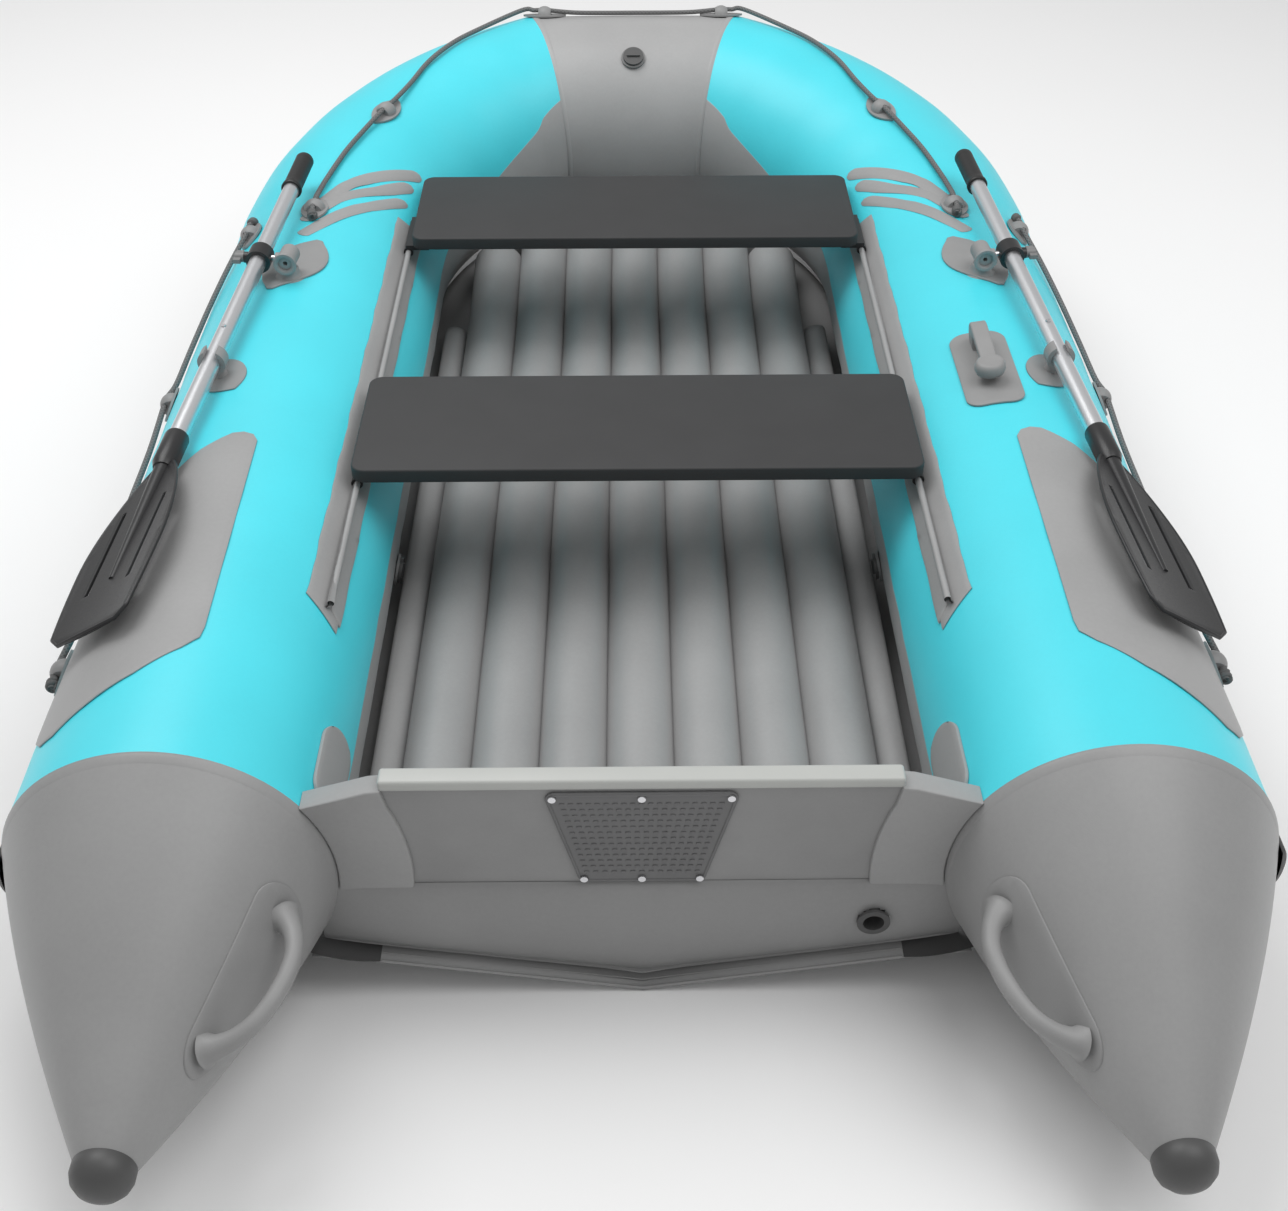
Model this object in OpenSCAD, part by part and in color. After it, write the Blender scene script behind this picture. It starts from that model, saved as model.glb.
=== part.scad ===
// Inflatable motor dinghy with an air floor, two sliding bench seats, a pair of stowed oars
// and a transom for a small outboard motor.
// +Y points to the bow, +X to starboard, +Z up. The boat stands on Z = 0.
// The helpers work in a hull frame whose Y = 0 is the stern seam, between tubes and cones.
// The last lines move that frame so that the origin is the middle of the boat's footprint.

/* [Tubes] */
// Overall beam over the side tubes
beam = 1650; // [1500:10:1800]
// Diameter of the side tubes
tube_d = 430; // [380:5:450]
// Length of the straight part of each side tube
straight_l = 1600; // [1580:10:2100]
// Radius of the tube's centreline round the shoulder of the bow
shoulder_r = 720; // [660:5:760]
// How far each shoulder turns inwards
shoulder_turn = 58; // [52:1:62]
// How steeply the bow rises
bow_rise = 9; // [6:1:12]
// Thickness of the coated fabric of the tubes and floor
skin_t = 2; // [1:0.5:3]
// Length of the stern cones
cone_l = 400; // [340:10:460]
// Diameter of each cone where its end cap begins
cone_tip_d = 68; // [56:2:90]

/* [Transom] */
// Width of the transom board
board_w = 656; // [600:4:680]
// Thickness of the transom board
board_t = 22; // [18:1:30]
// Height of the transom above the keel line
transom_h = 376; // [360:1:390]
// Width of the motor plate at its top
plate_w = 243; // [200:1:280]
// Height of the motor plate
plate_h = 163; // [140:1:175]
// Radius of the drain valve's bore
drain_r = 14; // [8:1:18]

/* [Seats] */
// Length of the rear seat board
rear_seat_l = 888; // [860:2:900]
// Length of the front seat board
front_seat_l = 856; // [840:2:880]
// Depth of both seat boards, bow to stern
seat_w = 280; // [200:5:290]
// Thickness of the seat boards
seat_t = 24; // [16:1:28]
// Stern edge of the rear seat, ahead of the stern seam
rear_seat_y = 645; // [560:5:680]
// Stern edge of the front seat, ahead of the stern seam
front_seat_y = 1430; // [1380:5:1440]
// Radius of the bead that the seat runners grip
bead_r = 5; // [4:0.5:6]

/* [Floor] */
// Spacing of the floor's lengthwise air channels
channel_pitch = 99; // [90:1:104]
// Radius of each channel
channel_r = 56; // [53:1:58]
// Depth of the keel tube
keel_d = 50; // [36:2:52]

/* [Oars] */
// Diameter of the oar shaft
shaft_d = 30; // [26:1:34]
// Wall of the oar shaft
shaft_wall = 1.5; // [1:0.1:2]
// Shaft length on the grip side of the collar
inboard_l = 370; // [330:5:400]
// Shaft length from the collar to the blade's socket
outboard_l = 545; // [520:5:570]
// Length of the blade
blade_l = 445; // [400:5:460]
// Width of the blade
blade_w = 160; // [130:2:180]
// Diameter of the steel pin between collar and oarlock
pin_d = 10; // [8:0.5:12]

/* [Hidden] */
$fn = 64;
eps = 0.01;
far = 3000;

// Clearances and thin layers
glue = 0.3;
run_gap = 0.3;
patch_t = 2;
// Glue line between two lengths of tube
seam = 0.05;

// Tubes
tube_r = tube_d / 2;
axis_x = beam / 2 - tube_r;
stub = 75;
tip_drop = 49;
cone_swell = 12;
arc_x = axis_x - shoulder_r;
mitre = (90 - shoulder_turn) / 2;
knee_x = arc_x + shoulder_r * cos(shoulder_turn) - stub * sin(shoulder_turn);
knee_y = shoulder_r * sin(shoulder_turn) + stub * cos(shoulder_turn);
bow_y = straight_l + knee_y * cos(bow_rise);
bow_z = tube_r + knee_y * sin(bow_rise);
cap_l = 38;
cap_gap = 0.2;
stern_end = cone_l + cap_gap + cap_l;
strake_t = 9;
strake_low = 22;
strake_h = 58;
bow_end = bow_y + strake_low * sin(bow_rise)
    + sqrt(pow(tube_r + strake_t, 2) - strake_low * strake_low) * cos(bow_rise);
mid_y = (bow_end - stern_end) / 2;

// Colours
turquoise = [0.36, 0.9, 0.94];
light_grey = [0.66, 0.66, 0.66];
mid_grey = [0.52, 0.52, 0.52];
dark_grey = [0.28, 0.28, 0.28];
black = [0.1, 0.1, 0.1];
metal = [0.8, 0.8, 0.82];

// Oar and oarlock: the collar's centre in the hull frame, on the port side
collar_out = 62;
collar_y = 1233;
oar_lift = 35;
oar_yaw = 4;
oar_pitch = 3;
collar_x = axis_x + collar_out;
oar_z = tube_d + oar_lift;
swivel_in = 50;
collar_r = 22;
collar_l = 34;
barrel_r = 17;
barrel_l = 46;
post_r = 8;
blade_tilt = 32;

// Seats and rails
rail_a1 = 40;
rail_a2 = 57;
bead_a = 49;
bead_off = 13;
bead_x = axis_x - (tube_r + bead_off) * sin(bead_a);
bead_z = tube_r + (tube_r + bead_off) * cos(bead_a);
rail_y1 = 355;
rail_y2 = straight_l - tube_r * tan(bow_rise / 2) - 2;
runner_r = bead_r + run_gap + 4;
seat_z = bead_z + runner_r + 5;
runner_l = 125;

// Transom
board_y = 0;
board_bottom = 90;
trim_over = 3;
trim_h = 8;
trim_lip = 8;
plate_t = 5;
plate_top = transom_h - 20;
screw_r = 5;
drain_x = 306;
drain_z = 132;

// Floor and bottom
chine_z = 78;
bottom_t = 2.5;
chine_x = axis_x - sqrt(tube_r * tube_r - pow(tube_r - chine_z - bottom_t, 2)) - glue;
vee = atan(chine_z / chine_x);
floor_z = 3 * channel_pitch * tan(vee) + (channel_r + glue + bottom_t) / cos(vee);
side_channel_r = 33;
side_channel_x = 3 * channel_pitch + channel_r + 25;
side_channel_z = side_channel_x * tan(vee) + (side_channel_r + glue + bottom_t) / cos(vee);
floor_y1 = 75;

// ---------- helpers ----------

// Everything ahead of the straight tubes lies in one plane that rises to the bow
module bow_plane() {
    translate([0, straight_l, tube_r]) rotate([bow_rise, 0, 0]) children();
}

// Keeps what lies behind or ahead of the seam between straight tubes and bow
module behind_seam(gap = 0) {
    intersection() {
        children();
        translate([0, straight_l, tube_r]) rotate([bow_rise / 2, 0, 0])
            translate([-far / 2, -far - gap, -far / 2]) cube([far, far, far]);
    }
}

module ahead_of_seam(gap = 0) {
    intersection() {
        children();
        translate([0, straight_l, tube_r]) rotate([bow_rise / 2, 0, 0])
            translate([-far / 2, gap, -far / 2]) cube([far, far, far]);
    }
}

// A 2D section, with outboard to +X and up to +Y, run along the straight starboard tube
module straight_run(y1, y2) {
    translate([axis_x, y2, tube_r]) rotate([90, 0, 0]) linear_extrude(y2 - y1) children();
}

// The same section run round the starboard shoulder between two angles
module shoulder_run(a1, a2) {
    bow_plane() translate([arc_x, 0, 0]) rotate([0, 0, a1])
        rotate_extrude(angle = a2 - a1) translate([shoulder_r, 0]) children();
}

// The short straight length at the end of the shoulder, cut at the mitre with the bow tube
module stub_run(cut = 0) {
    reach = stub + tube_r;
    intersection() {
        bow_plane() translate([arc_x, 0, 0]) rotate([0, 0, shoulder_turn])
            translate([shoulder_r, seam + reach, 0]) rotate([90, 0, 0]) linear_extrude(reach - cut) children();
        mitre_side(seam);
    }
}

// The half of space outboard of the starboard mitre plane
module mitre_side(out = 0) {
    bow_plane() translate([knee_x, knee_y, 0]) rotate([0, 0, -mitre])
        translate([out, -far / 2, -far / 2]) cube([far, far, far]);
}

// The section run across the bow between the two mitre planes
module cross_run(inset = 0) {
    reach = 2 * (knee_x + tube_r);
    difference() {
        bow_plane() translate([-reach / 2, knee_y, 0]) rotate([90, 0, 90])
            linear_extrude(reach) children();
        mitre_side(-inset);
        mirror([1, 0, 0]) mitre_side(-inset);
    }
}

module port(is_port = true) {
    mirror([is_port ? 1 : 0, 0, 0]) children();
}

module both() {
    children();
    mirror([1, 0, 0]) children();
}

// Frame on the starboard tube: a is the angle from the top, outboard positive, +Z is outwards
module on_tube(y, a) {
    translate([axis_x, y, tube_r]) rotate([0, a, 0]) translate([0, 0, tube_r]) children();
}

// A glued patch on the straight tube: the tube's shape cut by an outline seen from outside
module tube_patch(y, a, t = patch_t) {
    intersection() {
        straight_run(0, straight_l) difference() {
            circle(tube_r + glue + t);
            circle(tube_r + glue);
        }
        translate([axis_x, y, tube_r]) rotate([0, a, 0]) linear_extrude(far) children();
    }
}

// Outline with four equal round corners
module rounded(w, l, r) {
    square([w - 2 * r, l], center = true);
    square([w, l - 2 * r], center = true);
    for (x = [-1, 1], y = [-1, 1]) translate([x * (w / 2 - r), y * (l / 2 - r)]) circle(r);
}

// Lens outline of a given width and length
module lens(w, l) {
    r = (w * w + l * l) / (4 * w);
    intersection() {
        translate([r - w / 2, 0]) circle(r);
        translate([w / 2 - r, 0]) circle(r);
    }
}

// ---------- inflatable hull ----------

// Closed skins: the end walls are the diaphragms between chambers
module tube_skin() {
    difference() {
        behind_seam() straight_run(0, straight_l + tube_r) circle(tube_r);
        behind_seam(skin_t) straight_run(skin_t, straight_l + tube_r) circle(tube_r - skin_t);
    }
}

module side_tube(is_port) {
    color(turquoise) port(is_port) difference() {
        tube_skin();
        side_valve_place() valve_hole();
    }
}
module port_tube() side_tube(true);
module starboard_tube() side_tube(false);

split_a = shoulder_turn / 2;
wall_a = atan(skin_t / (shoulder_r - tube_r));
module shoulder(is_port) {
    color(turquoise) port(is_port) difference() {
        ahead_of_seam() {
            shoulder_run(0, split_a) circle(tube_r);
            bow_plane() translate([axis_x, 0, 0]) rotate([90, 0, 0])
                cylinder(h = tube_r / 2, r = tube_r);
        }
        ahead_of_seam(skin_t) shoulder_run(0, split_a - wall_a) circle(tube_r - skin_t);
    }
}
module port_shoulder() shoulder(true);
module starboard_shoulder() shoulder(false);

// The last of the shoulder, and the short ring that meets the bow tube
ring_t = 4;
module bow_quarter(is_port) {
    color(turquoise) port(is_port) {
        difference() {
            shoulder_run(split_a, shoulder_turn) circle(tube_r);
            shoulder_run(split_a + wall_a, shoulder_turn - wall_a) circle(tube_r - skin_t);
        }
        difference() {
            stub_run() circle(tube_r);
            stub_run(-1) circle(tube_r - ring_t);
        }
    }
}
module port_bow_quarter() bow_quarter(true);
module starboard_bow_quarter() bow_quarter(false);

module bow_tube() {
    color(light_grey) difference() {
        cross_run() circle(tube_r);
        cross_run(skin_t) circle(tube_r - skin_t);
        bow_valve_place() valve_hole();
    }
}

// Oblique, slightly swollen cone from the stern seam to its lower tip, grown by t
module cone_ring(share, swell, t) {
    r = tube_r + (cone_tip_d / 2 - tube_r) * share + swell;
    translate([axis_x, -cone_l * share, tube_r - tip_drop * share]) rotate([90, 0, 0])
        cylinder(h = eps, r = r + t, $fn = 96);
}
module cone_solid(t) {
    hull() {
        cone_ring(0, 0, t);
        cone_ring(0.25, cone_swell, t);
        cone_ring(0.55, cone_swell, t);
        cone_ring(1, 0, t);
    }
}

module stern_cone(is_port) {
    color(mid_grey) port(is_port) difference() {
        translate([0, -eps, 0]) cone_solid(0);
        intersection() {
            translate([0, -skin_t, 0]) cone_solid(-skin_t);
            translate([0, -cone_l + skin_t, -far / 2]) cube([far, cone_l - 2 * skin_t, far]);
        }
    }
}
module port_cone() stern_cone(true);
module starboard_cone() stern_cone(false);

module cone_caps() {
    color(dark_grey) both() translate([axis_x, -cone_l - cap_gap, tube_r - tip_drop]) rotate([90, 0, 0])
        intersection() {
            cylinder(h = cap_l, r = cone_tip_d / 2 + 3);
            translate([0, 0, -cap_l / 2]) sphere(r = cap_l * 1.5 + 2);
        }
}

// Inner diaphragms that split each side tube into two chambers
module bulkheads() {
    color(light_grey) both() straight_run(straight_l / 2, straight_l / 2 + skin_t)
        circle(tube_r - skin_t - glue);
}

// The room inside the bow, run up through everything. The side is how far the room's wall
// stands from the tubes' centreline
module bow_room(side) {
    r = shoulder_r - side;
    front = knee_y - side;
    steps = 12;
    wall = [for (i = [0:steps]) let (a = -12 + (asin(front / r) + 12) * i / steps)
        [arc_x + r * cos(a), r * sin(a)]];
    bow_plane() translate([0, 0, -far / 2]) linear_extrude(far)
        polygon(concat(wall, [for (i = [steps:-1:0]) [-wall[i][0], wall[i][1]]]));
}

// A lengthwise section, centred on the boat and on the tubes' height: the straight length
module aft_run(y1, cut = 0) {
    behind_seam(cut) translate([0, straight_l + 60, tube_r]) rotate([90, 0, 0])
        linear_extrude(straight_l + 60 - y1 - cut) children();
}
// The same section on its way up the bow, as far as the room reaches
module bow_run(side, cut = 0) {
    ahead_of_seam(seam + cut) intersection() {
        bow_plane() translate([0, 600, 0]) rotate([90, 0, 0]) linear_extrude(700) children();
        bow_room(side + cut);
    }
}

// Section of the floor's channels, side by side with common walls
room_half = axis_x - tube_r - 1;
module floor_section(cut) {
    intersection() {
        union() {
            for (i = [-3:3]) intersection() {
                translate([i * channel_pitch, floor_z - tube_r]) circle(channel_r - cut);
                translate([i * channel_pitch - channel_pitch / 2 + cut / 2, -tube_r])
                    square([channel_pitch - cut, tube_d]);
            }
            for (s = [-1, 1]) translate([s * side_channel_x, side_channel_z - tube_r])
                circle(side_channel_r - cut);
        }
        translate([-room_half + cut, -tube_r]) square([2 * (room_half - cut), tube_d]);
    }
}

// The floor in two lengths that meet where the bow starts to rise
module air_floor() {
    color(light_grey) {
        difference() {
            aft_run(floor_y1) floor_section(0);
            aft_run(floor_y1 + skin_t, skin_t) floor_section(skin_t);
        }
        difference() {
            bow_run(tube_r + 1) floor_section(0);
            bow_run(tube_r + 1, skin_t) floor_section(skin_t);
        }
    }
}

keel_l = 360;
module keel_tube() {
    color(mid_grey) {
        difference() {
            aft_run(floor_y1 + 20) keel_section(keel_d / 2);
            aft_run(floor_y1 + 20 + skin_t, skin_t) keel_section(keel_d / 2 - skin_t);
        }
        ahead_of_seam(seam) bow_plane() translate([0, keel_l, 0]) rotate([90, 0, 0])
            linear_extrude(keel_l + 60) difference() {
                keel_section(keel_d / 2);
                keel_section(keel_d / 2 - skin_t);
            }
    }
}
module keel_section(r) {
    translate([0, keel_d / 2 + bottom_t + 0.7 - tube_r]) circle(r);
}

// Vee-shaped bottom, glued to the tubes along both chines
module bottom_profile() {
    polygon([
        [-chine_x, chine_z - tube_r], [0, -tube_r], [chine_x, chine_z - tube_r],
        [chine_x, chine_z + bottom_t - tube_r], [0, bottom_t - tube_r],
        [-chine_x, chine_z + bottom_t - tube_r],
    ]);
}

module bottom_skin() {
    color(mid_grey) {
        aft_run(-30) bottom_profile();
        bow_run(axis_x - chine_x) bottom_profile();
    }
}

// ---------- transom ----------

module transom_board() {
    color(light_grey) difference() {
        translate([-board_w / 2, board_y, board_bottom])
            cube([board_w, board_t, transom_h - trim_h - board_bottom]);
        drain_place() cylinder(h = 200, r = drain_r + 4 + glue, center = true);
        plate_screws() cylinder(h = 200, r = 2.5, center = true);
    }
}

module transom_trim() {
    color(light_grey) difference() {
        translate([-board_w / 2, board_y - trim_over, transom_h - trim_h - trim_lip])
            cube([board_w, board_t + 2 * trim_over, trim_h + trim_lip]);
        translate([-board_w / 2 - 1, board_y - glue, transom_h - trim_h - trim_lip - 1])
            cube([board_w + 2, board_t + 2 * glue, trim_lip + 1 + glue]);
    }
}

// Moulded side mounts between the board and the tubes, each with a round ear on the tube
holder_lip = 16;
holder_t = 6;
holder_z = drain_z + drain_r + 14;
module transom_holders() {
    color(dark_grey) both() {
        difference() {
            translate([board_w / 2 - holder_lip, board_y - holder_t, holder_z])
                cube([160, board_t + 2 * holder_t, transom_h - 30 - holder_z]);
            translate([board_w / 2 - far, board_y - glue, 0]) cube([far + glue, board_t + 2 * glue, far]);
            straight_run(-100, 200) circle(tube_r + glue);
            translate([0, -far + board_y - glue, 0]) cube([far, far, far]);
        }
        tube_patch(105, -70, 6) rounded(66, 130, 32);
    }
}

// Fabric panel over the lower board, behind it
module transom_skirt() {
    color(mid_grey) difference() {
        translate([0, board_y - glue, 0]) rotate([90, 0, 0]) linear_extrude(22)
            polygon([[-350, 190], [-350, 142], [0, 74], [350, 142], [350, 190]]);
        both() translate([board_w / 2 - holder_lip - glue, -10, holder_z - glue])
            cube([200, 20, far]);
        drain_place() cylinder(h = 200, r = drain_r + 4 + glue, center = true);
    }
}

module plate_screws() {
    for (row = [[plate_top - 8, plate_w / 2 - 9], [plate_top - plate_h + 8, plate_w / 2 - 46]])
        for (k = [-1, 0, 1]) translate([k * row[1], board_y, row[0]]) rotate([90, 0, 0]) children();
}

module motor_plate() {
    low = plate_w / 2 - 37;
    color(dark_grey) difference() {
        union() {
            translate([0, board_y - glue, plate_top]) rotate([90, 0, 0]) linear_extrude(plate_t)
                polygon([[-plate_w / 2, 0], [plate_w / 2, 0], [low, -plate_h], [-low, -plate_h]]);
            for (i = [1:9]) translate([-low + 8, board_y - plate_t - 1.5, plate_top - 10 - i * 14.5])
                cube([2 * low - 16, 2, 5]);
        }
        plate_screws() cylinder(h = 200, r = 3, center = true);
    }
}

module motor_plate_screws() {
    color(metal) plate_screws() {
        translate([0, 0, plate_t + glue + 0.2]) cylinder(h = 2.5, r = screw_r);
        translate([0, 0, -18]) cylinder(h = 18 + plate_t + glue + 1, r = 2.2);
    }
}

module drain_place() {
    translate([drain_x, board_y, drain_z]) rotate([90, 0, 0]) children();
}

module drain_body() {
    color(dark_grey) drain_place() difference() {
        union() {
            translate([0, 0, 22 + 2 * glue]) cylinder(h = 4, r = drain_r + 8);
            translate([0, 0, -board_t - glue - 4]) cylinder(h = 4, r = drain_r + 8);
            translate([0, 0, -board_t - 4]) cylinder(h = board_t + 28, r = drain_r + 4);
        }
        cylinder(h = 200, r = drain_r, center = true);
    }
}

// Plug that pulls out of the drain towards the bow
module drain_plug() {
    color(black) drain_place() {
        translate([0, 0, -board_t - 9]) cylinder(h = 4, r = drain_r + 6);
        translate([0, 0, -board_t - 6]) cylinder(h = 22, r = drain_r - run_gap);
        translate([0, 0, -board_t - 21]) cylinder(h = 13, r = 5);
    }
}

// ---------- seats ----------

module seat_rails() {
    color(light_grey) both() {
        straight_run(rail_y1, rail_y2) {
            intersection() {
                difference() {
                    circle(tube_r + glue + patch_t);
                    circle(tube_r + glue);
                }
                polygon([
                    [0, 0], [-far * sin(rail_a1), far * cos(rail_a1)], [-far * sin(rail_a2), far * cos(rail_a2)],
                ]);
            }
            rotate(bead_a) translate([-1.5, tube_r + glue + 1]) square([3, bead_off - 2]);
            rotate(bead_a) translate([0, tube_r + bead_off]) circle(bead_r);
        }
    }
}

module seat_board(y, l) {
    color(dark_grey) translate([0, y + seat_w / 2, seat_z]) linear_extrude(seat_t) rounded(l, seat_w, 22);
}
module rear_seat() seat_board(rear_seat_y, rear_seat_l);
module front_seat() seat_board(front_seat_y, front_seat_l);

// Slotted runner that grips the bead, with a pad up to the seat board
module seat_runners(y) {
    color(black) both() straight_run(y + 20, y + 20 + runner_l) difference() {
        union() {
            translate([bead_x - axis_x, bead_z - tube_r]) circle(runner_r);
            translate([bead_x - axis_x - 40, bead_z - tube_r + runner_r - 5]) square([44, 9.8]);
        }
        translate([bead_x - axis_x, bead_z - tube_r]) circle(bead_r + run_gap);
        rotate(bead_a) translate([-2.5, tube_r - 20]) square([5, 20 + bead_off]);
    }
}
module rear_seat_runners() seat_runners(rear_seat_y);
module front_seat_runners() seat_runners(front_seat_y);

// ---------- glued patches and strakes ----------

// Leaf-shaped guards under the oar blades, with the outline seen square to the tube at patch_a
patch_a = 28;
module blade_patches() {
    color(light_grey) both() tube_patch(0, patch_a) polygon([
        [-128, 240], [-121, 690], [-114, 706], [-100, 713], [-84, 711], [-40, 678], [10, 620],
        [64, 500], [96, 360], [108, 280], [110, 240], [122, 190], [120, 150], [108, 118], [80, 88],
        [50, 84], [0, 112],
        [-60, 150], [-110, 196], [-126, 218],
    ]);
}

// Stripes where the tube turns into the shoulder, each in two lengths that meet at the seam
stripe_y = straight_l + 12;
stripe_pitch = 56;
stripe_a = -22;
module tube_shell() {
    difference() {
        circle(tube_r + glue + patch_t);
        circle(tube_r + glue);
    }
}
module tube_stripes() {
    color(light_grey) both() for (k = [0:2]) difference() {
        intersection() {
            union() {
                behind_seam() straight_run(straight_l - 400, straight_l) tube_shell();
                ahead_of_seam(seam) shoulder_run(0, 20) tube_shell();
            }
            translate([axis_x, stripe_y - stripe_pitch * k, tube_r]) rotate([0, stripe_a, 0])
                rotate(-26) linear_extrude(far) rounded(142, 32, 8);
        }
        straight_run(rail_y1, rail_y2 + 1) polygon([
            [0, 0], [-far * sin(rail_a1 - 0.2), far * cos(rail_a1 - 0.2)], [-far * sin(80), far * cos(80)],
        ]);
    }
}

module strake_section(t) {
    intersection() {
        difference() {
            circle(tube_r + t);
            circle(tube_r + glue);
        }
        translate([0, -strake_low]) square([far, strake_h]);
    }
}

module rub_strakes() {
    color(mid_grey) {
        both() {
            behind_seam() straight_run(40, straight_l + 30) strake_section(strake_t);
            ahead_of_seam(seam) shoulder_run(0, shoulder_turn) strake_section(strake_t);
            stub_run() strake_section(strake_t);
        }
        cross_run() strake_section(strake_t);
    }
}

module strake_ends() {
    color(black) both() straight_run(-20, 39.8) difference() {
        intersection() {
            circle(tube_r + strake_t + 2);
            translate([0, -strake_low - 4]) square([far, strake_h + 8]);
        }
        circle(tube_r + glue);
    }
}

// ---------- oars and oarlocks ----------

// Frame of the port oar: origin at the collar, +Y along the shaft to the grip
module swivel_frame() {
    translate([-collar_x, collar_y, oar_z]) rotate([0, 0, -oar_yaw]) children();
}
module oar_frame() {
    swivel_frame() rotate([oar_pitch, 0, 0]) children();
}

// True when the mirrored, starboard one is wanted
module on_side(starboard) {
    mirror([starboard ? 1 : 0, 0, 0]) children();
}

module oarlock_bases() {
    color(mid_grey) both() {
        tube_patch(collar_y + 45, 3) rotate(20) lens(110, 190);
        swivel_frame() translate([swivel_in, 0, 0]) oarlock_socket();
    }
}

// The socket stands on the port tube, so its bore is upright under the swivel
module oarlock_socket() {
    difference() {
        translate([0, 0, -oar_lift + glue - 2]) cylinder(h = oar_lift - barrel_r + 2 - 2 * glue, r = 17);
        translate([0, 0, -oar_lift]) cylinder(h = oar_lift, r = post_r + run_gap);
        translate([-swivel_in, 0, 0]) rotate([0, 0, oar_yaw]) translate([collar_x, -collar_y, -oar_z])
            mirror([1, 0, 0]) straight_run(0, straight_l) circle(tube_r + glue);
    }
}

module oarlock(starboard) {
    color(mid_grey) on_side(starboard) swivel_frame() translate([swivel_in, 0, 0]) difference() {
        union() {
            rotate([90, 0, 0]) cylinder(h = barrel_l, r = barrel_r, center = true);
            translate([0, 0, -oar_lift + 4]) cylinder(h = oar_lift - 4, r = post_r);
            translate([-barrel_r - 4, 0, 0]) rotate([0, 90, 0]) cylinder(h = 20, r = 10);
        }
        translate([-barrel_r - 5, 0, 0]) rotate([0, 90, 0]) cylinder(h = 18, r = pin_d / 2 + run_gap);
        rotate([90, 0, 0]) cylinder(h = barrel_l / 2 + 1, r = 4);
        translate([0, -barrel_l / 2 + 3, 0]) rotate([90, 0, 0]) cylinder(h = 4, r = 12);
    }
}
module port_oarlock() oarlock(false);
module starboard_oarlock() oarlock(true);

module oar_collar(starboard) {
    color(black) on_side(starboard) oar_frame() difference() {
        union() {
            rotate([90, 0, 0]) cylinder(h = collar_l, r = collar_r, center = true);
            translate([-collar_r - 6, 0, 0]) rotate([0, 90, 0]) cylinder(h = 14, r = 10);
        }
        rotate([90, 0, 0]) cylinder(h = 2 * collar_l, r = shaft_d / 2 + 0.1, center = true);
        translate([-collar_r - 7, 0, 0]) rotate([0, 90, 0]) cylinder(h = 7, r = 4 + run_gap);
        translate([collar_r - 6.5, 0, 0]) rotate([0, 90, 0]) cylinder(h = 9, r = pin_d / 2);
    }
}
module port_oar_collar() oar_collar(false);
module starboard_oar_collar() oar_collar(true);

module oar_pin(starboard) {
    color(metal) on_side(starboard) oar_frame() translate([collar_r - 5.5, 0, 0]) rotate([0, 90, 0])
        cylinder(h = swivel_in - collar_r + 5.5 - 6, r = pin_d / 2);
}
module port_oar_pin() oar_pin(false);
module starboard_oar_pin() oar_pin(true);

button_y = 250;
module oar_shaft(starboard) {
    color(metal) on_side(starboard) oar_frame() difference() {
        translate([0, inboard_l, 0]) rotate([90, 0, 0])
            cylinder(h = inboard_l + outboard_l + 80, r = shaft_d / 2);
        translate([0, inboard_l + 1, 0]) rotate([90, 0, 0])
            cylinder(h = inboard_l + outboard_l + 90, r = shaft_d / 2 - shaft_wall);
        translate([0, -button_y, 0]) cylinder(h = shaft_d, r = 4 + run_gap);
    }
}
module port_oar_shaft() oar_shaft(false);
module starboard_oar_shaft() oar_shaft(true);

grip_l = 125;
module oar_grip(starboard) {
    color(black) on_side(starboard) oar_frame() translate([0, inboard_l + 8, 0]) rotate([90, 0, 0])
        difference() {
            union() {
                cylinder(h = grip_l, r = shaft_d / 2 + 2.5);
                translate([0, 0, grip_l - 8]) cylinder(h = 8, r = shaft_d / 2 + 4.5);
            }
            translate([0, 0, 7.5]) cylinder(h = grip_l, r = shaft_d / 2 + 0.1);
        }
}
module port_oar_grip() oar_grip(false);
module starboard_oar_grip() oar_grip(true);

// Half the blade's outline, from the socket to the tip
function blade_half(s) = 20 + (blade_w / 2 - 20) * pow(sin(min(90, s * 150)), 0.8) - 12 * pow(s, 4);
blade_steps = 14;
module blade_outline(cut) {
    polygon([
        for (i = [0:blade_steps]) [blade_half(i / blade_steps) - cut, -i / blade_steps * (blade_l - 75)],
        for (i = [blade_steps:-1:0]) [-blade_half(i / blade_steps) + cut, -i / blade_steps * (blade_l - 75)],
    ]);
}

module oar_blade(starboard) {
    color(black) on_side(starboard) oar_frame() translate([0, -outboard_l, 0]) rotate([0, -blade_tilt, 0])
        difference() {
            union() {
                rotate([90, 0, 0]) cylinder(h = 85, r = shaft_d / 2 + 4);
                translate([0, -75, -2.5]) linear_extrude(5) blade_outline(0);
                translate([0, -80, 0]) rotate([90, 0, 0]) cylinder(h = blade_l - 190, r1 = 13, r2 = 5);
            }
            translate([0, 1, 0]) rotate([90, 0, 0]) cylinder(h = 82, r = shaft_d / 2 + 0.1);
            for (s = [-1, 1]) translate([s * 40, -260, -10]) rotate([0, 0, s * 3])
                linear_extrude(20) rounded(7, 190, 3.4);
        }
}
module port_oar_blade() oar_blade(false);
module starboard_oar_blade() oar_blade(true);

module clamp_knob(starboard) {
    color(black) on_side(starboard) oar_frame() rotate([0, -90, 0]) {
        translate([0, 0, collar_r + 6 + run_gap]) cylinder(h = 16, r = 9);
        translate([-4, -17, collar_r + 6 + run_gap + 4]) cube([8, 34, 13]);
        translate([0, 0, collar_r + 0.5]) cylinder(h = 12, r = 4);
    }
}
module port_clamp_knob() clamp_knob(false);
module starboard_clamp_knob() clamp_knob(true);

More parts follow.
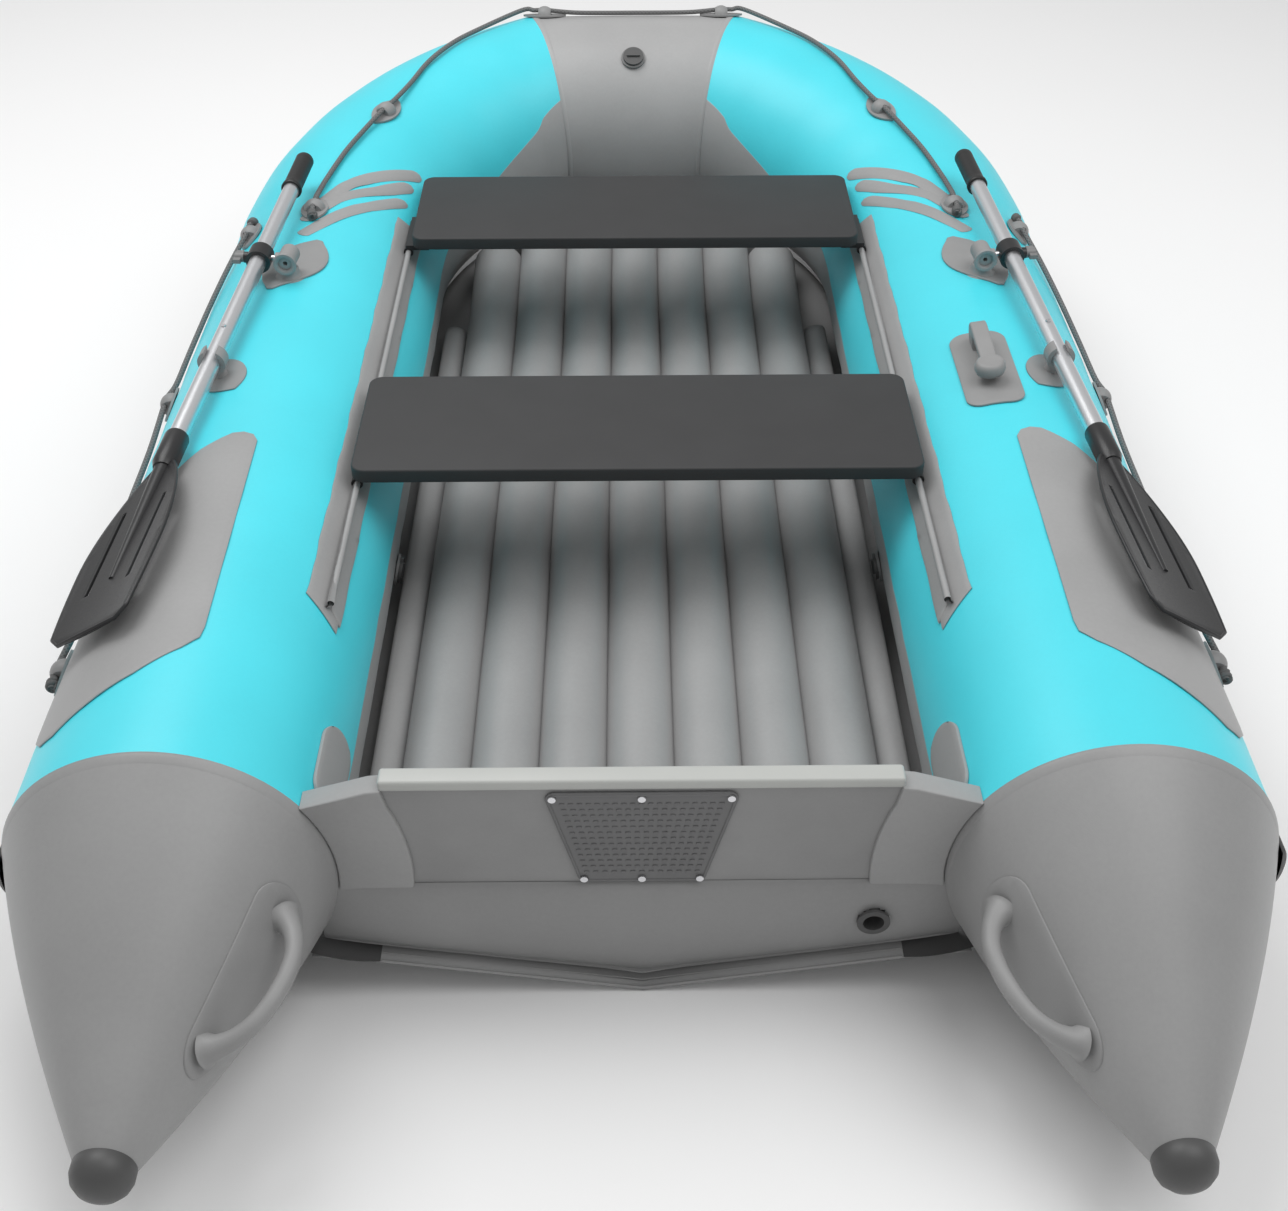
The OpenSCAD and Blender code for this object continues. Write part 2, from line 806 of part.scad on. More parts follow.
module snap_button(starboard) {
    color(metal) on_side(starboard) oar_frame() translate([0, -button_y, 0]) {
        cylinder(h = shaft_d / 2 + 2, r = 4);
        translate([0, 0, 4]) cylinder(h = 4, r = 6.5);
    }
}
module port_snap_button() snap_button(false);
module starboard_snap_button() snap_button(true);

// Rubber horns that hold each shaft, on a foot glued to the tube
clip_y = 330;
clip_horn = 8;
clip_x = collar_x + clip_y * cos(oar_pitch) * sin(oar_yaw);
clip_hull_y = collar_y - clip_y * cos(oar_pitch) * cos(oar_yaw);
clip_z = oar_z - clip_y * sin(oar_pitch);
clip_a = atan2(clip_x - axis_x, clip_z - tube_r);
clip_h = norm([clip_x - axis_x, clip_z - tube_r]) - tube_r;
module oar_clips() {
    color(mid_grey) both() {
        tube_patch(clip_hull_y, clip_a) rotate(-30) lens(80, 130);
        difference() {
            union() {
                on_tube(clip_hull_y, clip_a) translate([0, 0, glue + 1]) cylinder(h = clip_h - 4, r = 11);
                mirror([1, 0, 0]) oar_frame() translate([0, -clip_y, 0]) rotate([90, 0, 0])
                    cylinder(h = 24, r = shaft_d / 2 + clip_horn, center = true);
            }
            mirror([1, 0, 0]) oar_frame() translate([0, -clip_y, 0]) {
                rotate([90, 0, 0]) cylinder(h = 60, r = shaft_d / 2 + run_gap, center = true);
                translate([-10, -30, 0]) cube([20, 60, 60]);
            }
        }
    }
}

// ---------- ropes and fittings ----------

rope_r = 5;
eye_r = 21;

// One moulded eye: a lens-shaped foot and a dome with a tunnel for the rope along +Y
eye_foot = 1;
module rope_eye() {
    translate([0, 0, eye_foot]) difference() {
        union() {
            translate([0, 0, -eye_foot]) linear_extrude(4) lens(52, 96);
            intersection() {
                sphere(eye_r);
                translate([-50, -14, 0]) cube([100, 28, 50]);
            }
        }
        translate([0, 0, 12]) rotate([90, 0, 0]) cylinder(h = 100, r = rope_r + 0.6, center = true);
    }
}

// Eyes as [place along, angle from the top]: on the straight tube, the shoulder and the bow
side_eyes = [[1480, 38], [1000, 66], [300, 68]];
top_eye = [1500, 2];
shoulder_eye = [26, -6];
bow_eye = [200, 22];

module on_shoulder(a, up) {
    bow_plane() translate([arc_x, 0, 0]) rotate([0, 0, a]) translate([shoulder_r, 0, 0])
        rotate([0, up, 0]) translate([0, 0, tube_r]) children();
}
module on_cross(x, up) {
    bow_plane() translate([x, knee_y, 0]) rotate([-up, 0, 0]) translate([0, 0, tube_r]) children();
}

module rope_eyes() {
    color(mid_grey) both() {
        for (e = side_eyes) on_tube(e[0], e[1]) translate([0, 0, glue]) rope_eye();
        on_tube(top_eye[0], top_eye[1]) translate([0, 0, glue]) rope_eye();
        on_shoulder(shoulder_eye[0], shoulder_eye[1]) translate([0, 0, glue]) rope_eye();
        on_cross(bow_eye[0], bow_eye[1]) translate([0, 0, glue]) rotate(90) rope_eye();
    }
}

// The rope's centre stands this far off the tube in each eye
rope_off = 12 + eye_foot + glue;

// Point on the straight tube, on the shoulder
function tube_pt(y, a, off) = [axis_x + (tube_r + off) * sin(a), y, tube_r + (tube_r + off) * cos(a)];
function lift(p) = [p[0], straight_l + p[1] * cos(bow_rise) - p[2] * sin(bow_rise),
    tube_r + p[1] * sin(bow_rise) + p[2] * cos(bow_rise)];
function shoulder_pt(a, up, off) = lift([
    arc_x + (shoulder_r + (tube_r + off) * sin(up)) * cos(a),
    (shoulder_r + (tube_r + off) * sin(up)) * sin(a),
    (tube_r + off) * cos(up),
]);
function cross_pt(x, up, off) = lift([x, knee_y + (tube_r + off) * sin(up), (tube_r + off) * cos(up)]);
function mirrored(p) = [-p[0], p[1], p[2]];

// Half of the bow line, from the starboard top eye to the middle of the bow
half_bow_line = [
    tube_pt(1450, 1, 9), tube_pt(1480, 2, rope_off), tube_pt(1500, 2, rope_off),
    tube_pt(1530, 2, rope_off), tube_pt(1570, 2, 9), shoulder_pt(4, 0, 8), shoulder_pt(12, -3, 8),
    shoulder_pt(19, -5, 9), shoulder_pt(23, -6, rope_off), shoulder_pt(26, -6, rope_off),
    shoulder_pt(29, -6, rope_off), shoulder_pt(35, -2, 8), shoulder_pt(42, 6, 8),
    shoulder_pt(49, 14, 8), shoulder_pt(55, 20, 9), cross_pt(225, 22, rope_off),
    cross_pt(200, 22, rope_off), cross_pt(175, 22, rope_off), cross_pt(120, 22, 8), cross_pt(60, 22, 7),
];
bow_line = concat(half_bow_line, [cross_pt(0, 22, 7)],
    [for (i = [len(half_bow_line) - 1:-1:0]) mirrored(half_bow_line[i])]);
side_line = [
    tube_pt(1530, 37, 8), tube_pt(1505, 38, rope_off), tube_pt(1480, 38, rope_off),
    tube_pt(1460, 38, rope_off), tube_pt(1380, 46, 9), tube_pt(1280, 54, 7), tube_pt(1160, 61, 7),
    tube_pt(1060, 65, 8), tube_pt(1020, 66, rope_off), tube_pt(1000, 66, rope_off),
    tube_pt(980, 66, rope_off), tube_pt(860, 67, 8), tube_pt(720, 68, 7), tube_pt(580, 69, 7),
    tube_pt(450, 69, 8), tube_pt(320, 68, rope_off), tube_pt(300, 68, rope_off), tube_pt(262, 68, 10),
];

function unit(v) = v / norm(v);
function heading(p, i) = unit(p[min(i + 1, len(p) - 1)] - p[max(i - 1, 0)]);
function ring(p, i, r, n) =
    let (d = heading(p, i), s = unit(cross(d, [0.1, 0.2, 1])), u = cross(s, d))
    [for (k = [0:n - 1]) p[i] + r * (cos(360 * k / n) * s + sin(360 * k / n) * u)];

// A closed tube swept along points
module rope(p, r, n = 8) {
    m = len(p);
    polyhedron(
        points = [for (i = [0:m - 1]) each ring(p, i, r, n)],
        faces = concat(
            [[for (k = [0:n - 1]) k]],
            [for (i = [0:m - 2], k = [0:n - 1])
                [i * n + k, (i + 1) * n + k, (i + 1) * n + (k + 1) % n, i * n + (k + 1) % n]],
            [[for (k = [n - 1:-1:0]) (m - 1) * n + k]]
        )
    );
}

module lifelines() {
    color(mid_grey) {
        rope(bow_line, rope_r);
        rope(side_line, rope_r);
        mirror([1, 0, 0]) rope(side_line, rope_r);
    }
}

// Anchor line cleat on the starboard tube: a tongue from a forward arch, with a round head
cleat_y = 900;
cleat_a = -9;
module anchor_cleat() {
    color(mid_grey) {
        tube_patch(cleat_y, cleat_a, 3) rounded(94, 225, 26);
        on_tube(cleat_y, cleat_a) translate([0, 0, 3]) {
            translate([-14, 0, 0]) rotate([90, 0, 90]) linear_extrude(28)
                polygon([[52, 0], [88, 0], [88, 30], [78, 42], [-40, 34], [-40, 24], [52, 28]]);
            translate([0, -42, 12]) cylinder(h = 24, r = 25);
        }
    }
}

// Grab handles on the inboard upper side of the cones
handle_r = 66;
handle_d = 22;
handle_a = -72;
handle_y = -195;
handle_slope = atan((tube_r - cone_tip_d / 2 + tip_drop * cos(handle_a)) / cone_l);
module handle_frame() {
    r = tube_r + (tube_r - cone_tip_d / 2) * handle_y / cone_l + cone_swell;
    translate([axis_x, handle_y, tube_r + tip_drop * handle_y / cone_l])
        rotate([0, handle_a, 0]) translate([0, 0, r]) rotate([handle_slope, 0, 0]) children();
}

module grab_handles() {
    color(mid_grey) both() {
        intersection() {
            difference() {
                cone_solid(3.3);
                cone_solid(glue);
            }
            handle_frame() translate([0, 0, -60]) linear_extrude(120) rounded(84, 250, 40);
        }
        handle_frame() difference() {
            rotate([0, 90, 0]) rotate_extrude() translate([handle_r, 0]) circle(handle_d / 2);
            translate([-far / 2, -far / 2, 0.6 - far]) cube([far, far, far]);
        }
    }
}

// ---------- valves ----------

valve_r = 16;
valve_wall = 3;
module bow_valve_place() {
    bow_plane() translate([0, knee_y, 0]) rotate([26, 0, 0]) translate([0, 0, tube_r]) children();
}
module side_valve_place() {
    on_tube(705, -103) children();
}
module valve_hole() {
    translate([0, 0, -60]) cylinder(h = 90, r = valve_r + glue);
}

// Flanged barrel with a web that guides the stem
module valve_body() {
    difference() {
        union() {
            translate([0, 0, glue]) cylinder(h = 4, r = valve_r + 10);
            translate([0, 0, -34]) cylinder(h = 36, r = valve_r);
        }
        translate([0, 0, -14]) cylinder(h = 30, r = valve_r - valve_wall);
        translate([0, 0, -35]) cylinder(h = 18, r = valve_r - valve_wall);
        translate([0, 0, -50]) cylinder(h = 50, r = 3 + run_gap);
    }
}
module valve_cap() {
    translate([0, 0, 5]) cylinder(h = 5, r = valve_r + 6);
    translate([-14, -2, 9]) cube([28, 4, 5]);
    translate([0, 0, -3]) difference() {
        cylinder(h = 9, r = valve_r - valve_wall - run_gap);
        translate([0, 0, -1]) cylinder(h = 7, r = 9);
    }
}
module valve_stem() {
    translate([0, 0, -26]) cylinder(h = 24, r = 3);
    translate([0, 0, -28]) cylinder(h = 4, r = 9);
    translate([0, 0, -4]) cylinder(h = 2, r = 5.5);
}

module valve_bodies() {
    color(light_grey) {
        bow_valve_place() valve_body();
        both() side_valve_place() valve_body();
    }
}
module bow_valve_cap() color(mid_grey) bow_valve_place() valve_cap();
module port_valve_cap() color(mid_grey) port() side_valve_place() valve_cap();
module starboard_valve_cap() color(mid_grey) side_valve_place() valve_cap();
module bow_valve_stem() color(metal) bow_valve_place() valve_stem();
module port_valve_stem() color(metal) port() side_valve_place() valve_stem();
module starboard_valve_stem() color(metal) side_valve_place() valve_stem();

// ---------- the boat ----------

translate([0, -mid_y, 0]) {
    port_tube();
    starboard_tube();
    port_shoulder();
    starboard_shoulder();
    port_bow_quarter();
    starboard_bow_quarter();
    bow_tube();
    port_cone();
    starboard_cone();
    cone_caps();
    bulkheads();
    air_floor();
    keel_tube();
    bottom_skin();
    transom_board();
    transom_trim();
    transom_holders();
    transom_skirt();
    motor_plate();
    motor_plate_screws();
    drain_body();
    drain_plug();
    seat_rails();
    rear_seat();
    front_seat();
    rear_seat_runners();
    front_seat_runners();
    blade_patches();
    tube_stripes();
    rub_strakes();
    strake_ends();
    oarlock_bases();
    port_oarlock();
    starboard_oarlock();
    port_oar_collar();
    starboard_oar_collar();
    port_oar_pin();
    starboard_oar_pin();
    port_oar_shaft();
    starboard_oar_shaft();
    port_oar_grip();
    starboard_oar_grip();
    port_oar_blade();
    starboard_oar_blade();
    port_clamp_knob();
    starboard_clamp_knob();
    port_snap_button();
    starboard_snap_button();
    oar_clips();
    rope_eyes();
    lifelines();
    anchor_cleat();
    grab_handles();
    valve_bodies();
    bow_valve_cap();
    port_valve_cap();
    starboard_valve_cap();
    bow_valve_stem();
    port_valve_stem();
    starboard_valve_stem();
}
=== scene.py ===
# %% [markdown]
# # An inflatable motor dinghy
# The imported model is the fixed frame: every tube, board and oar already has its size and place.
# This notebook gives it its real surfaces: welded fabric, moulded rubber, boards and ropes.

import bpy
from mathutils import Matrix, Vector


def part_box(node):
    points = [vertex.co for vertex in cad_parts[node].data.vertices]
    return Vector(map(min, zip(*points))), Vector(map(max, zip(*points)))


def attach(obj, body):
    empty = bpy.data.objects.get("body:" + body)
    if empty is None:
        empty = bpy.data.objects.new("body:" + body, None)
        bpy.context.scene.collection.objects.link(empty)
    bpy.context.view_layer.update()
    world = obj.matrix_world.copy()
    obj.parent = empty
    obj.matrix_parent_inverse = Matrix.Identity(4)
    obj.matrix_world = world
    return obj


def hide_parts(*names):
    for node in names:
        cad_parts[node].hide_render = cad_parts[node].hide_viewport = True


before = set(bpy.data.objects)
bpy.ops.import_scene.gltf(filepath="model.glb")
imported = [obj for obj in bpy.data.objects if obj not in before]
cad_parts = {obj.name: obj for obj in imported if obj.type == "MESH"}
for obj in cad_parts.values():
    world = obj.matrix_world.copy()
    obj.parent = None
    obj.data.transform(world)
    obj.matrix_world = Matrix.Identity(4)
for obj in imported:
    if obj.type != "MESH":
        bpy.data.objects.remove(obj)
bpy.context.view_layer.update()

import math

import bmesh
import bpy
from mathutils import Matrix, Vector

# %% [markdown]
# ## The hull's lines
# The tubes run straight from the stern seam, turn in round the shoulders, and meet a short
# bow segment at two mitred seams. Ahead of the straight part everything rises gently.
# One set of numbers describes that line, so each patch and strake can follow the tube exactly.

# %% Sizes of the hull, in metres
TUBE_R = 0.215
PATCH_R = 0.217
AXIS_X = 0.610
STRAIGHT = 1.600
SHOULDER_R = 0.720
TURN = math.radians(58)
RISE = math.radians(9)
STUB = 0.075
CONE_L = 0.400
TIP_R = 0.034
TIP_DROP = 0.049
BEND = 0.06
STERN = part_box("port_tube")[0][1]
ARC_X = AXIS_X - SHOULDER_R
MITRE = (math.pi / 2 - TURN) / 2
KNEE_X = ARC_X + SHOULDER_R * math.cos(TURN) - STUB * math.sin(TURN)
KNEE_Y = SHOULDER_R * math.sin(TURN) + STUB * math.cos(TURN)
END_S = STRAIGHT + SHOULDER_R * TURN + STUB
print("stern seam at y =", round(STERN, 4), "tube line", round(END_S, 3), "m long")


# %% [markdown]
# A bent tube could be made as a curve with a bevel. Functions that turn a place along the tube
# and an angle round it into a point are used here, since every patch is laid on with them too.

# %% Points on the hull
def smooth(t):
    t = min(1, max(0, t))
    return t * t * (3 - 2 * t)


def rise_up(x, y, z):
    """A point of the bow's own plane, z above the tubes' centreline, lifted to where it rides."""
    t = min(1, max(0, (y + BEND) / (2 * BEND)))
    bent = t * t * BEND + max(0, y - BEND)
    tilt = RISE * t
    ahead = y - (1 - math.cos(RISE)) * bent
    return Vector((x, STERN + STRAIGHT + ahead - z * math.sin(tilt),
                   TUBE_R + bent * math.sin(RISE) + z * math.cos(tilt)))


def tube_point(s, angle, off=0.0, side=1):
    """s along the tube from the stern seam, angle from its top, outboard positive."""
    out = (TUBE_R + off) * math.sin(angle)
    up = (TUBE_R + off) * math.cos(angle)
    if s <= STRAIGHT:
        p = rise_up(AXIS_X + out, s - STRAIGHT, up)
    else:
        a = min((s - STRAIGHT) / SHOULDER_R, TURN)
        past = s - STRAIGHT - a * SHOULDER_R
        past += out * math.tan(MITRE) * smooth((s - END_S + 0.16) / 0.16)
        p = rise_up(ARC_X + (SHOULDER_R + out) * math.cos(a) - past * math.sin(a),
                    (SHOULDER_R + out) * math.sin(a) + past * math.cos(a), up)
    return Vector((side * p.x, p.y, p.z))


def bow_point(x, angle, off=0.0):
    """x across the bow segment, whose two ends are mitred to meet the shoulders."""
    out = (TUBE_R + off) * math.sin(angle)
    up = (TUBE_R + off) * math.cos(angle)
    return rise_up(x + out * math.tan(MITRE) * x / KNEE_X, KNEE_Y + out, up)


def cone_point(y, angle, off=0.0):
    """y is negative aft of the stern seam. The cone swells a little between its two ends."""
    t = -y / CONE_L
    r = TUBE_R + (TIP_R - TUBE_R) * t + 0.056 * t * (1 - t) * (1 - 0.25 * t) + off
    return Vector((AXIS_X + r * math.sin(angle), STERN + y,
                   TUBE_R - TIP_DROP * t + r * math.cos(angle)))


# %% [markdown]
# ## Camera
# The boat is seen from above its stern with a normal lens. A constraint could aim the camera,
# but three angles made into a matrix keep it exactly where it is put.

# %% Camera
yaw, pitch, roll = 0.0087, 0.6784, 0.0016
camera_at = (-0.0094, STERN - 1.4474, 1.8197)
level = math.cos(pitch)
forward = Vector((math.sin(yaw) * level, math.cos(yaw) * level, -math.sin(pitch)))
right = forward.cross(Vector((0, 0, 1))).normalized()
up = right.cross(forward)
rolled = Matrix.Rotation(roll, 3, forward)
right, up = rolled @ right, rolled @ up
lens = bpy.data.cameras.new("camera")
lens.lens, lens.sensor_width = 45.81, 36
camera = bpy.data.objects.new("camera", lens)
turned_to = Matrix((right, up, -forward)).transposed().to_4x4()
camera.matrix_world = Matrix.Translation(camera_at) @ turned_to
bpy.context.collection.objects.link(camera)
bpy.context.scene.camera = camera
print("camera at", [round(c, 3) for c in camera_at])


# %% [markdown]
# ## Shader maths
# Materials are node trees. Each node could be placed by hand, but a small class that wraps a
# socket lets a pattern be written as an ordinary sum, which is shorter and easier to read.

# %% Shader maths
class Val:
    """A socket that can be added, subtracted, multiplied and divided."""

    def __init__(self, graph, socket):
        self.graph, self.socket = graph, socket

    def maths(self, op, *others):
        return self.graph.node("Math", {"operation": op}, *([self] + list(others)))

    def __add__(self, o): return self.maths("ADD", o)
    def __sub__(self, o): return self.maths("SUBTRACT", o)
    def __mul__(self, o): return self.maths("MULTIPLY", o)
    def __truediv__(self, o): return self.maths("DIVIDE", o)
    def __rsub__(self, o): return self * -1 + o
    def sin(self): return self.maths("SINE")
    def abs(self): return self.maths("ABSOLUTE")
    def clip(self): return self.graph.node("Clamp", {}, self)
    def step(self, lo, hi): return ((self - lo) / (hi - lo)).clip()
    __radd__, __rmul__ = __add__, __mul__


class Graph:
    """The node tree of one material, ending in a Principled BSDF."""

    def __init__(self, name):
        self.material = bpy.data.materials.new(name)
        self.material.use_nodes = True
        self.tree = self.material.node_tree
        self.shader = self.tree.nodes["Principled BSDF"]

    def node(self, kind, settings, *inputs, out=0, **named):
        made = self.tree.nodes.new("ShaderNode" + kind)
        for key, value in settings.items():
            setattr(made, key, value)
        for key, value in list(enumerate(inputs)) + list(named.items()):
            self.feed(made.inputs[key if isinstance(key, int) else key.replace("_", " ")], value)
        return Val(self, made.outputs[out])

    def feed(self, socket, value):
        if isinstance(value, Val):
            self.tree.links.new(value.socket, socket)
        else:
            socket.default_value = value

    def mix(self, share, a, b):
        mixed = self.node("Mix", {"data_type": "RGBA"}, out=2)
        sockets = mixed.socket.node.inputs
        for index, value in ((0, share), (6, a), (7, b)):
            self.feed(sockets[index], (*value, 1) if isinstance(value, tuple) else value)
        return mixed

    def place(self):
        return self.node("TexCoord", {}, out=3)

    def attribute(self, name):
        return self.node("Attribute", {"attribute_name": name}, out=2)

    def noise(self, scale, detail=2.0, where=None):
        return self.node("TexNoise", {}, Vector=where or self.place(), Scale=scale, Detail=detail)

    def stretched(self, x, y, z):
        return self.node("Mapping", {}, self.place(), Scale=(x, y, z))

    def bump(self, height, depth, base=None):
        extra = {} if base is None else {"Normal": base}
        return self.node("Bump", {}, Height=height, Distance=depth, Strength=1.0, **extra)

    def finish(self, **sockets):
        for key, value in sockets.items():
            self.feed(self.shader.inputs[key.replace("_", " ")], value)
        return self.material


def shade(colour, k):
    return tuple(min(1, c * k) for c in colour)


print("shader helpers ready")

# %% [markdown]
# ## Finishes
# Coated fabric is smooth and a little glossy, with a very fine woven print and slow dull and
# bright patches. Moulded rubber is duller. Boards have a fine pebbled plastic skin. Noise on
# Object coordinates draws nearly all of it and needs no UV map. The rope's braid follows its
# own UV map, and the hull's seam follows a distance that is stored on the mesh.

# %% Fabric, rubber and plastic
TURQUOISE = (0.066, 0.69, 0.80)
GREY = (0.35, 0.35, 0.35)
PALE_GREY = (0.36, 0.36, 0.36)
BLACK = (0.012, 0.012, 0.012)


def fabric_bump(g):
    weave = g.node("TexChecker", {}, Vector=g.place(), Scale=900.0, out=1)
    woven = g.bump(weave, 0.00004)
    return g.bump(g.noise(9.0, 3.0), 0.0006, woven)


def fabric(name, colour, gloss=0.42, depth=0.07):
    g = Graph(name)
    tone = g.noise(5.0, 4.0)
    speck = g.noise(160.0, 2.0)
    share = (tone * 0.75 + speck * 0.25).step(0.3, 0.7)
    return g.finish(Base_Color=g.mix(share, shade(colour, 1 - depth), shade(colour, 1 + depth)),
                    Roughness=tone * 0.14 + (gloss - 0.07), Normal=fabric_bump(g),
                    Coat_Weight=0.12, Coat_Roughness=0.35)


def two_tone_fabric(name, colour, panel):
    """Turquoise above the glued panel seams and grey under them."""
    g = Graph(name)
    edge = g.attribute("panel")
    tone = g.noise(4.0, 4.0)
    speck = g.noise(160.0, 2.0)
    share = (tone * 0.8 + speck * 0.2).step(0.3, 0.7)
    grey = g.mix(share, shade(panel, 0.93), shade(panel, 1.07))
    blue = g.mix(share, shade(colour, 0.96), shade(colour, 1.04))
    covered = edge.step(-0.0006, 0.0006)
    seam = 1 - (edge.abs()).step(0.0004, 0.0016)
    base = g.mix(covered, blue, grey)
    base = g.mix(seam * 0.35, base, shade(panel, 0.55))
    lap = edge.step(-0.0012, 0.0012)
    return g.finish(Base_Color=base, Roughness=tone * 0.12 + 0.34,
                    Normal=g.bump(lap, 0.0009, fabric_bump(g)),
                    Coat_Weight=0.12, Coat_Roughness=0.35)


def moulded(name, colour, gloss=0.5, grain=420.0, depth=0.00005, wear=0.06):
    g = Graph(name)
    tone = g.noise(14.0, 4.0)
    skin = g.noise(grain, 3.0)
    share = (tone * 0.7 + skin * 0.3).step(0.3, 0.7)
    return g.finish(Base_Color=g.mix(share, shade(colour, 1 - wear), shade(colour, 1 + wear)),
                    Roughness=skin * 0.2 + (gloss - 0.1),
                    Normal=g.bump(skin, depth, g.bump(tone, depth * 6)))


def braided(name, colour):
    """Two families of strands cross on the rope; its UV runs along and around it. Its colour carries
    painted shade in the grooves between strands.
    """
    g = Graph(name)
    uv = g.node("TexCoord", {}, out=2)
    along = g.node("SeparateXYZ", {}, uv)
    around = Val(g, along.socket.node.outputs[1])
    turn = 2 * math.pi
    left = (along * (turn * 120) + around * (turn * 4)).sin() * 0.5 + 0.5
    other = (along * (turn * 120) - around * (turn * 4)).sin() * 0.5 + 0.5
    strands = left.maths("MAXIMUM", other)
    # Base colour follows the strand height: painted shade in the grooves, a slight painted highlight
    # on the crowns; the noise adds random tone.
    share = (strands * 0.8 + g.noise(300.0) * 0.3).clip()
    return g.finish(Base_Color=g.mix(share, shade(colour, 0.45), shade(colour, 1.15)),
                    Roughness=0.85, Normal=g.bump(strands, 0.0007))


def brushed(name, colour, rough):
    g = Graph(name)
    streak = g.noise(60.0, 3.0, g.stretched(40.0, 1.0, 40.0))
    return g.finish(Base_Color=g.mix(streak, shade(colour, 0.9), shade(colour, 1.05)), Metallic=1.0,
                    Roughness=streak * 0.16 + (rough - 0.08), Normal=g.bump(streak, 0.00002))


hull_fabric = two_tone_fabric("hull_fabric", TURQUOISE, GREY)
bow_fabric = fabric("bow_fabric", PALE_GREY)
cone_fabric = fabric("cone_fabric", (0.29, 0.29, 0.29))
patch_fabric = fabric("patch_fabric", (0.32, 0.32, 0.32), 0.5)
floor_fabric = fabric("floor_fabric", (0.33, 0.33, 0.33), 0.45)
keel_fabric = fabric("keel_fabric", (0.26, 0.26, 0.26), 0.5)
grey_rubber = moulded("grey_rubber", (0.27, 0.27, 0.27), 0.5)
dark_rubber = moulded("dark_rubber", (0.07, 0.07, 0.07), 0.48)
strake_rubber = moulded("strake_rubber", (0.44, 0.42, 0.42), 0.5)
black_rubber = moulded("black_rubber", BLACK, 0.45)
board_skin = moulded("board_skin", (0.27, 0.27, 0.27), 0.55, 260.0, 0.00006)
pale_plastic = moulded("pale_plastic", (0.47, 0.48, 0.46), 0.42, 500.0, 0.00002, 0.03)
seat_skin = moulded("seat_skin", (0.031, 0.031, 0.032), 0.62, 700.0, 0.00012, 0.08)
plate_plastic = moulded("plate_plastic", (0.155, 0.155, 0.157), 0.55)
black_plastic = moulded("black_plastic", (0.015, 0.015, 0.016), 0.36, 380.0, 0.00003)
grey_plastic = moulded("grey_plastic", (0.2, 0.2, 0.2), 0.45)
steel = brushed("steel", (0.72, 0.72, 0.74), 0.28)
oar_tube = brushed("oar_tube", (0.80, 0.81, 0.83), 0.34)
rope_braid = braided("rope_braid", (0.16, 0.16, 0.16))
knot_cord = moulded("knot_cord", (0.12, 0.12, 0.12), 0.8, 300.0, 0.0003, 0.3)
print("finishes:", len(bpy.data.materials))

# %% [markdown]
# ## Making pieces
# A flat panel is rolled into a tube, much as the real one is: a grid is cut on the bench, laid
# on the hull point by point and its long edges are joined. A patch is an outline that is cut
# into small cells, given a thickness and a soft top edge, and then laid on in the same way.


# %% Helpers that make pieces
def piece(bm, name, body, finish, stands_for=(), crease=40):
    bmesh.ops.remove_doubles(bm, verts=bm.verts, dist=1e-6)
    bmesh.ops.recalc_face_normals(bm, faces=bm.faces)
    mesh = bpy.data.meshes.new(name)
    bm.to_mesh(mesh)
    bm.free()
    for face in mesh.polygons:
        face.use_smooth = True
    mesh.set_sharp_from_angle(angle=math.radians(crease))
    obj = bpy.data.objects.new(name, mesh)
    bpy.context.collection.objects.link(obj)
    mesh.materials.append(finish)
    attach(obj, body)
    if stands_for:
        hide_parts(*stands_for)
    print(f"{name}: {len(mesh.polygons)} faces")
    return obj


def grid(columns, rows):
    """A unit sheet: x and y from 0 to 1."""
    bm = bmesh.new()
    bmesh.ops.create_grid(bm, x_segments=columns, y_segments=rows, size=0.5)
    bmesh.ops.translate(bm, verts=bm.verts, vec=(0.5, 0.5, 0))
    return bm


def lay(bm, where):
    """Moves every point of a flat piece to where(x, y, z)."""
    for v in bm.verts:
        v.co = where(*v.co)
    return bm


def close_ends(bm):
    bmesh.ops.remove_doubles(bm, verts=bm.verts, dist=1e-5)
    rims = [e for e in bm.edges if e.is_boundary]
    bmesh.ops.holes_fill(bm, edges=rims, sides=0)
    return bm


def both_sides(bm):
    bmesh.ops.mirror(bm, geom=bm.verts[:] + bm.edges[:] + bm.faces[:], axis="X", merge_dist=0)
    return bm


def soften(bm, edges, offset, segments):
    """Rounds edges with a bevel of a few segments."""
    bmesh.ops.bevel(bm, geom=edges, offset=offset, segments=segments, profile=0.5,
                    affect="EDGES", material=-1)


def cut_out(outline, cell, depth, edge=0.0008, holes=()):
    """A flat panel with a soft top edge, divided into cells so that it can bend."""
    bm = bmesh.new()
    bm.faces.new([bm.verts.new((x, y, 0)) for x, y in outline])
    for axis in (0, 1):
        low = min(p[axis] for p in outline)
        high = max(p[axis] for p in outline)
        count = max(1, round((high - low) / cell))
        places = [low + (high - low) * k / count for k in range(1, count)]
        places += [h[axis] + sign * h[axis + 2] / 2 for h in holes for sign in (-1, 1)]
        for place in places:
            co, no = [0, 0, 0], [0, 0, 0]
            co[axis], no[axis] = place, 1
            everything = bm.verts[:] + bm.edges[:] + bm.faces[:]
            bmesh.ops.bisect_plane(bm, geom=everything, plane_co=co, plane_no=no)
    for x, y, wide, long in holes:
        gone = [f for f in bm.faces if abs(f.calc_center_median().x - x) < wide / 2
                and abs(f.calc_center_median().y - y) < long / 2]
        bmesh.ops.delete(bm, geom=gone, context="FACES")
    raised = bmesh.ops.extrude_face_region(bm, geom=bm.faces[:])
    tops = [g for g in raised["geom"] if isinstance(g, bmesh.types.BMVert)]
    bmesh.ops.translate(bm, verts=tops, vec=(0, 0, depth))
    bmesh.ops.recalc_face_normals(bm, faces=bm.faces)
    rim = [e for e in bm.edges if len(e.link_faces) == 2
           and min(v.co.z for v in e.verts) > depth * 0.99
           and min(abs(f.normal.z) for f in e.link_faces) < 0.5]
    soften(bm, rim, edge, 2)
    return bm


